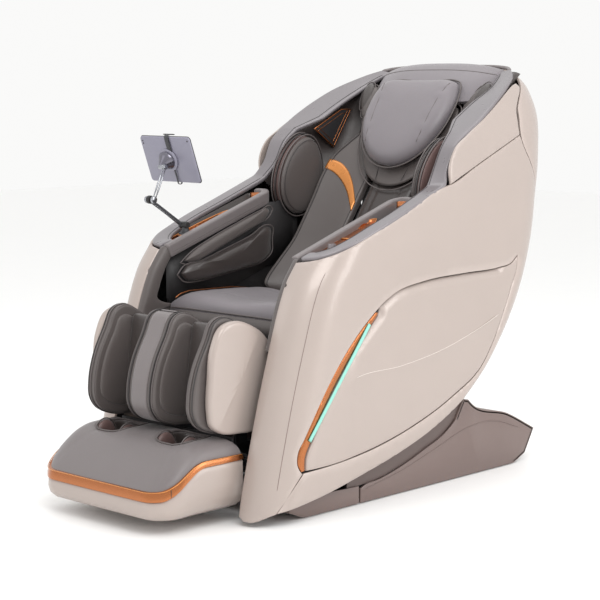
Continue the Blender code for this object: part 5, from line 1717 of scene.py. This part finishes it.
for k in (-1, 1):
    rod = [start + (stop - start) * t + v * k * 0.0048 for t in (0, 0.3, 0.6, 1)]
    tube("tablet_upper_rod_%d" % (k + 1), rod, 0.0026, steel_bright, "upper_link",
         sides=14)
knuckle("tablet_upper_head", stop, 0.0040, 0.0085, steel_bright, "upper_link")
cone = lathe("tablet_mount", stop + (-0.0175, 0, 0), on_tablet(-0.004, 0.0, -0.0055),
             ((0, 0.0080), (0.18, 0.0125), (0.42, 0.0180), (0.62, 0.0235), (0.80, 0.0280), (0.93, 0.0300),
              (1.0, 0.0300)), steel_dark, "clamp", sides=36)
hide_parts("tablet_clamp")
knuckle("tablet_mount_pin", stop + (-0.0150, 0, 0), 0.0092, 0.0075, steel_bright, "clamp")
lathe("tablet_mount_disc", on_tablet(0.0, 0.0, -0.0058), on_tablet(0.0, 0.0, -0.0008),
      ((0, 0.0320), (0.25, 0.0345), (0.8, 0.0350), (1, 0.0330)), tablet_back, "clamp",
      sides=40)


def bent_strap(name, line, wide, paint, body):
    """A flat metal strap over a line of up and depth points on the tablet."""
    line = spline([(0.0, b, h) for b, h in line], 0.004, closed=False, sharp=80)
    rings = []
    way = np.gradient(line, axis=0)
    for p, t in zip(line, way):
        t = t / np.linalg.norm(t)
        n = np.array([0, -t[2], t[1]])
        ring = []
        for a, b in rounded(wide, 0.0009, 0.0007, 2):
            q = p + n * b
            ring.append(on_tablet(a + 0.014, q[1], q[2]))
        rings.append(ring)
    return loft(name, rings, paint, body)


bent_strap("tablet_strap", [(-0.0745, 0.0105), (-0.0775, 0.0090), (-0.0780, 0.0), (-0.0755, -0.0030),
                            (-0.060, -0.0036), (0.055, -0.0036)], 0.0028, steel_painted, "clamp")
jaw = bent_strap("tablet_hook", [(0.022, -0.0030), (0.070, -0.0030), (0.0755, -0.0022), (0.0765, 0.004),
                                 (0.0762, 0.0115)], 0.0085, steel_painted, "jaw")
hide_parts("tablet_jaw")
hook = [on_tablet(a, 0.0762, 0.0110) for a in np.linspace(-0.012, 0.040, 10)]
tube("tablet_hook_bar", hook, 0.0018, black, "jaw")

# ---- Finishes of the CAD parts that stay -----------------------------------------------
slots = {}
for part in frame["record"].get("subparts", []):
    slots[part["node"]] = part["material_slot"]
for node, thing in frame["nodes"].items():
    paint = SLOT_PAINT.get(slots.get(node), steel_painted)
    for holder in thing.material_slots:
        holder.material = paint
    if not thing.material_slots:
        thing.data.materials.append(paint)
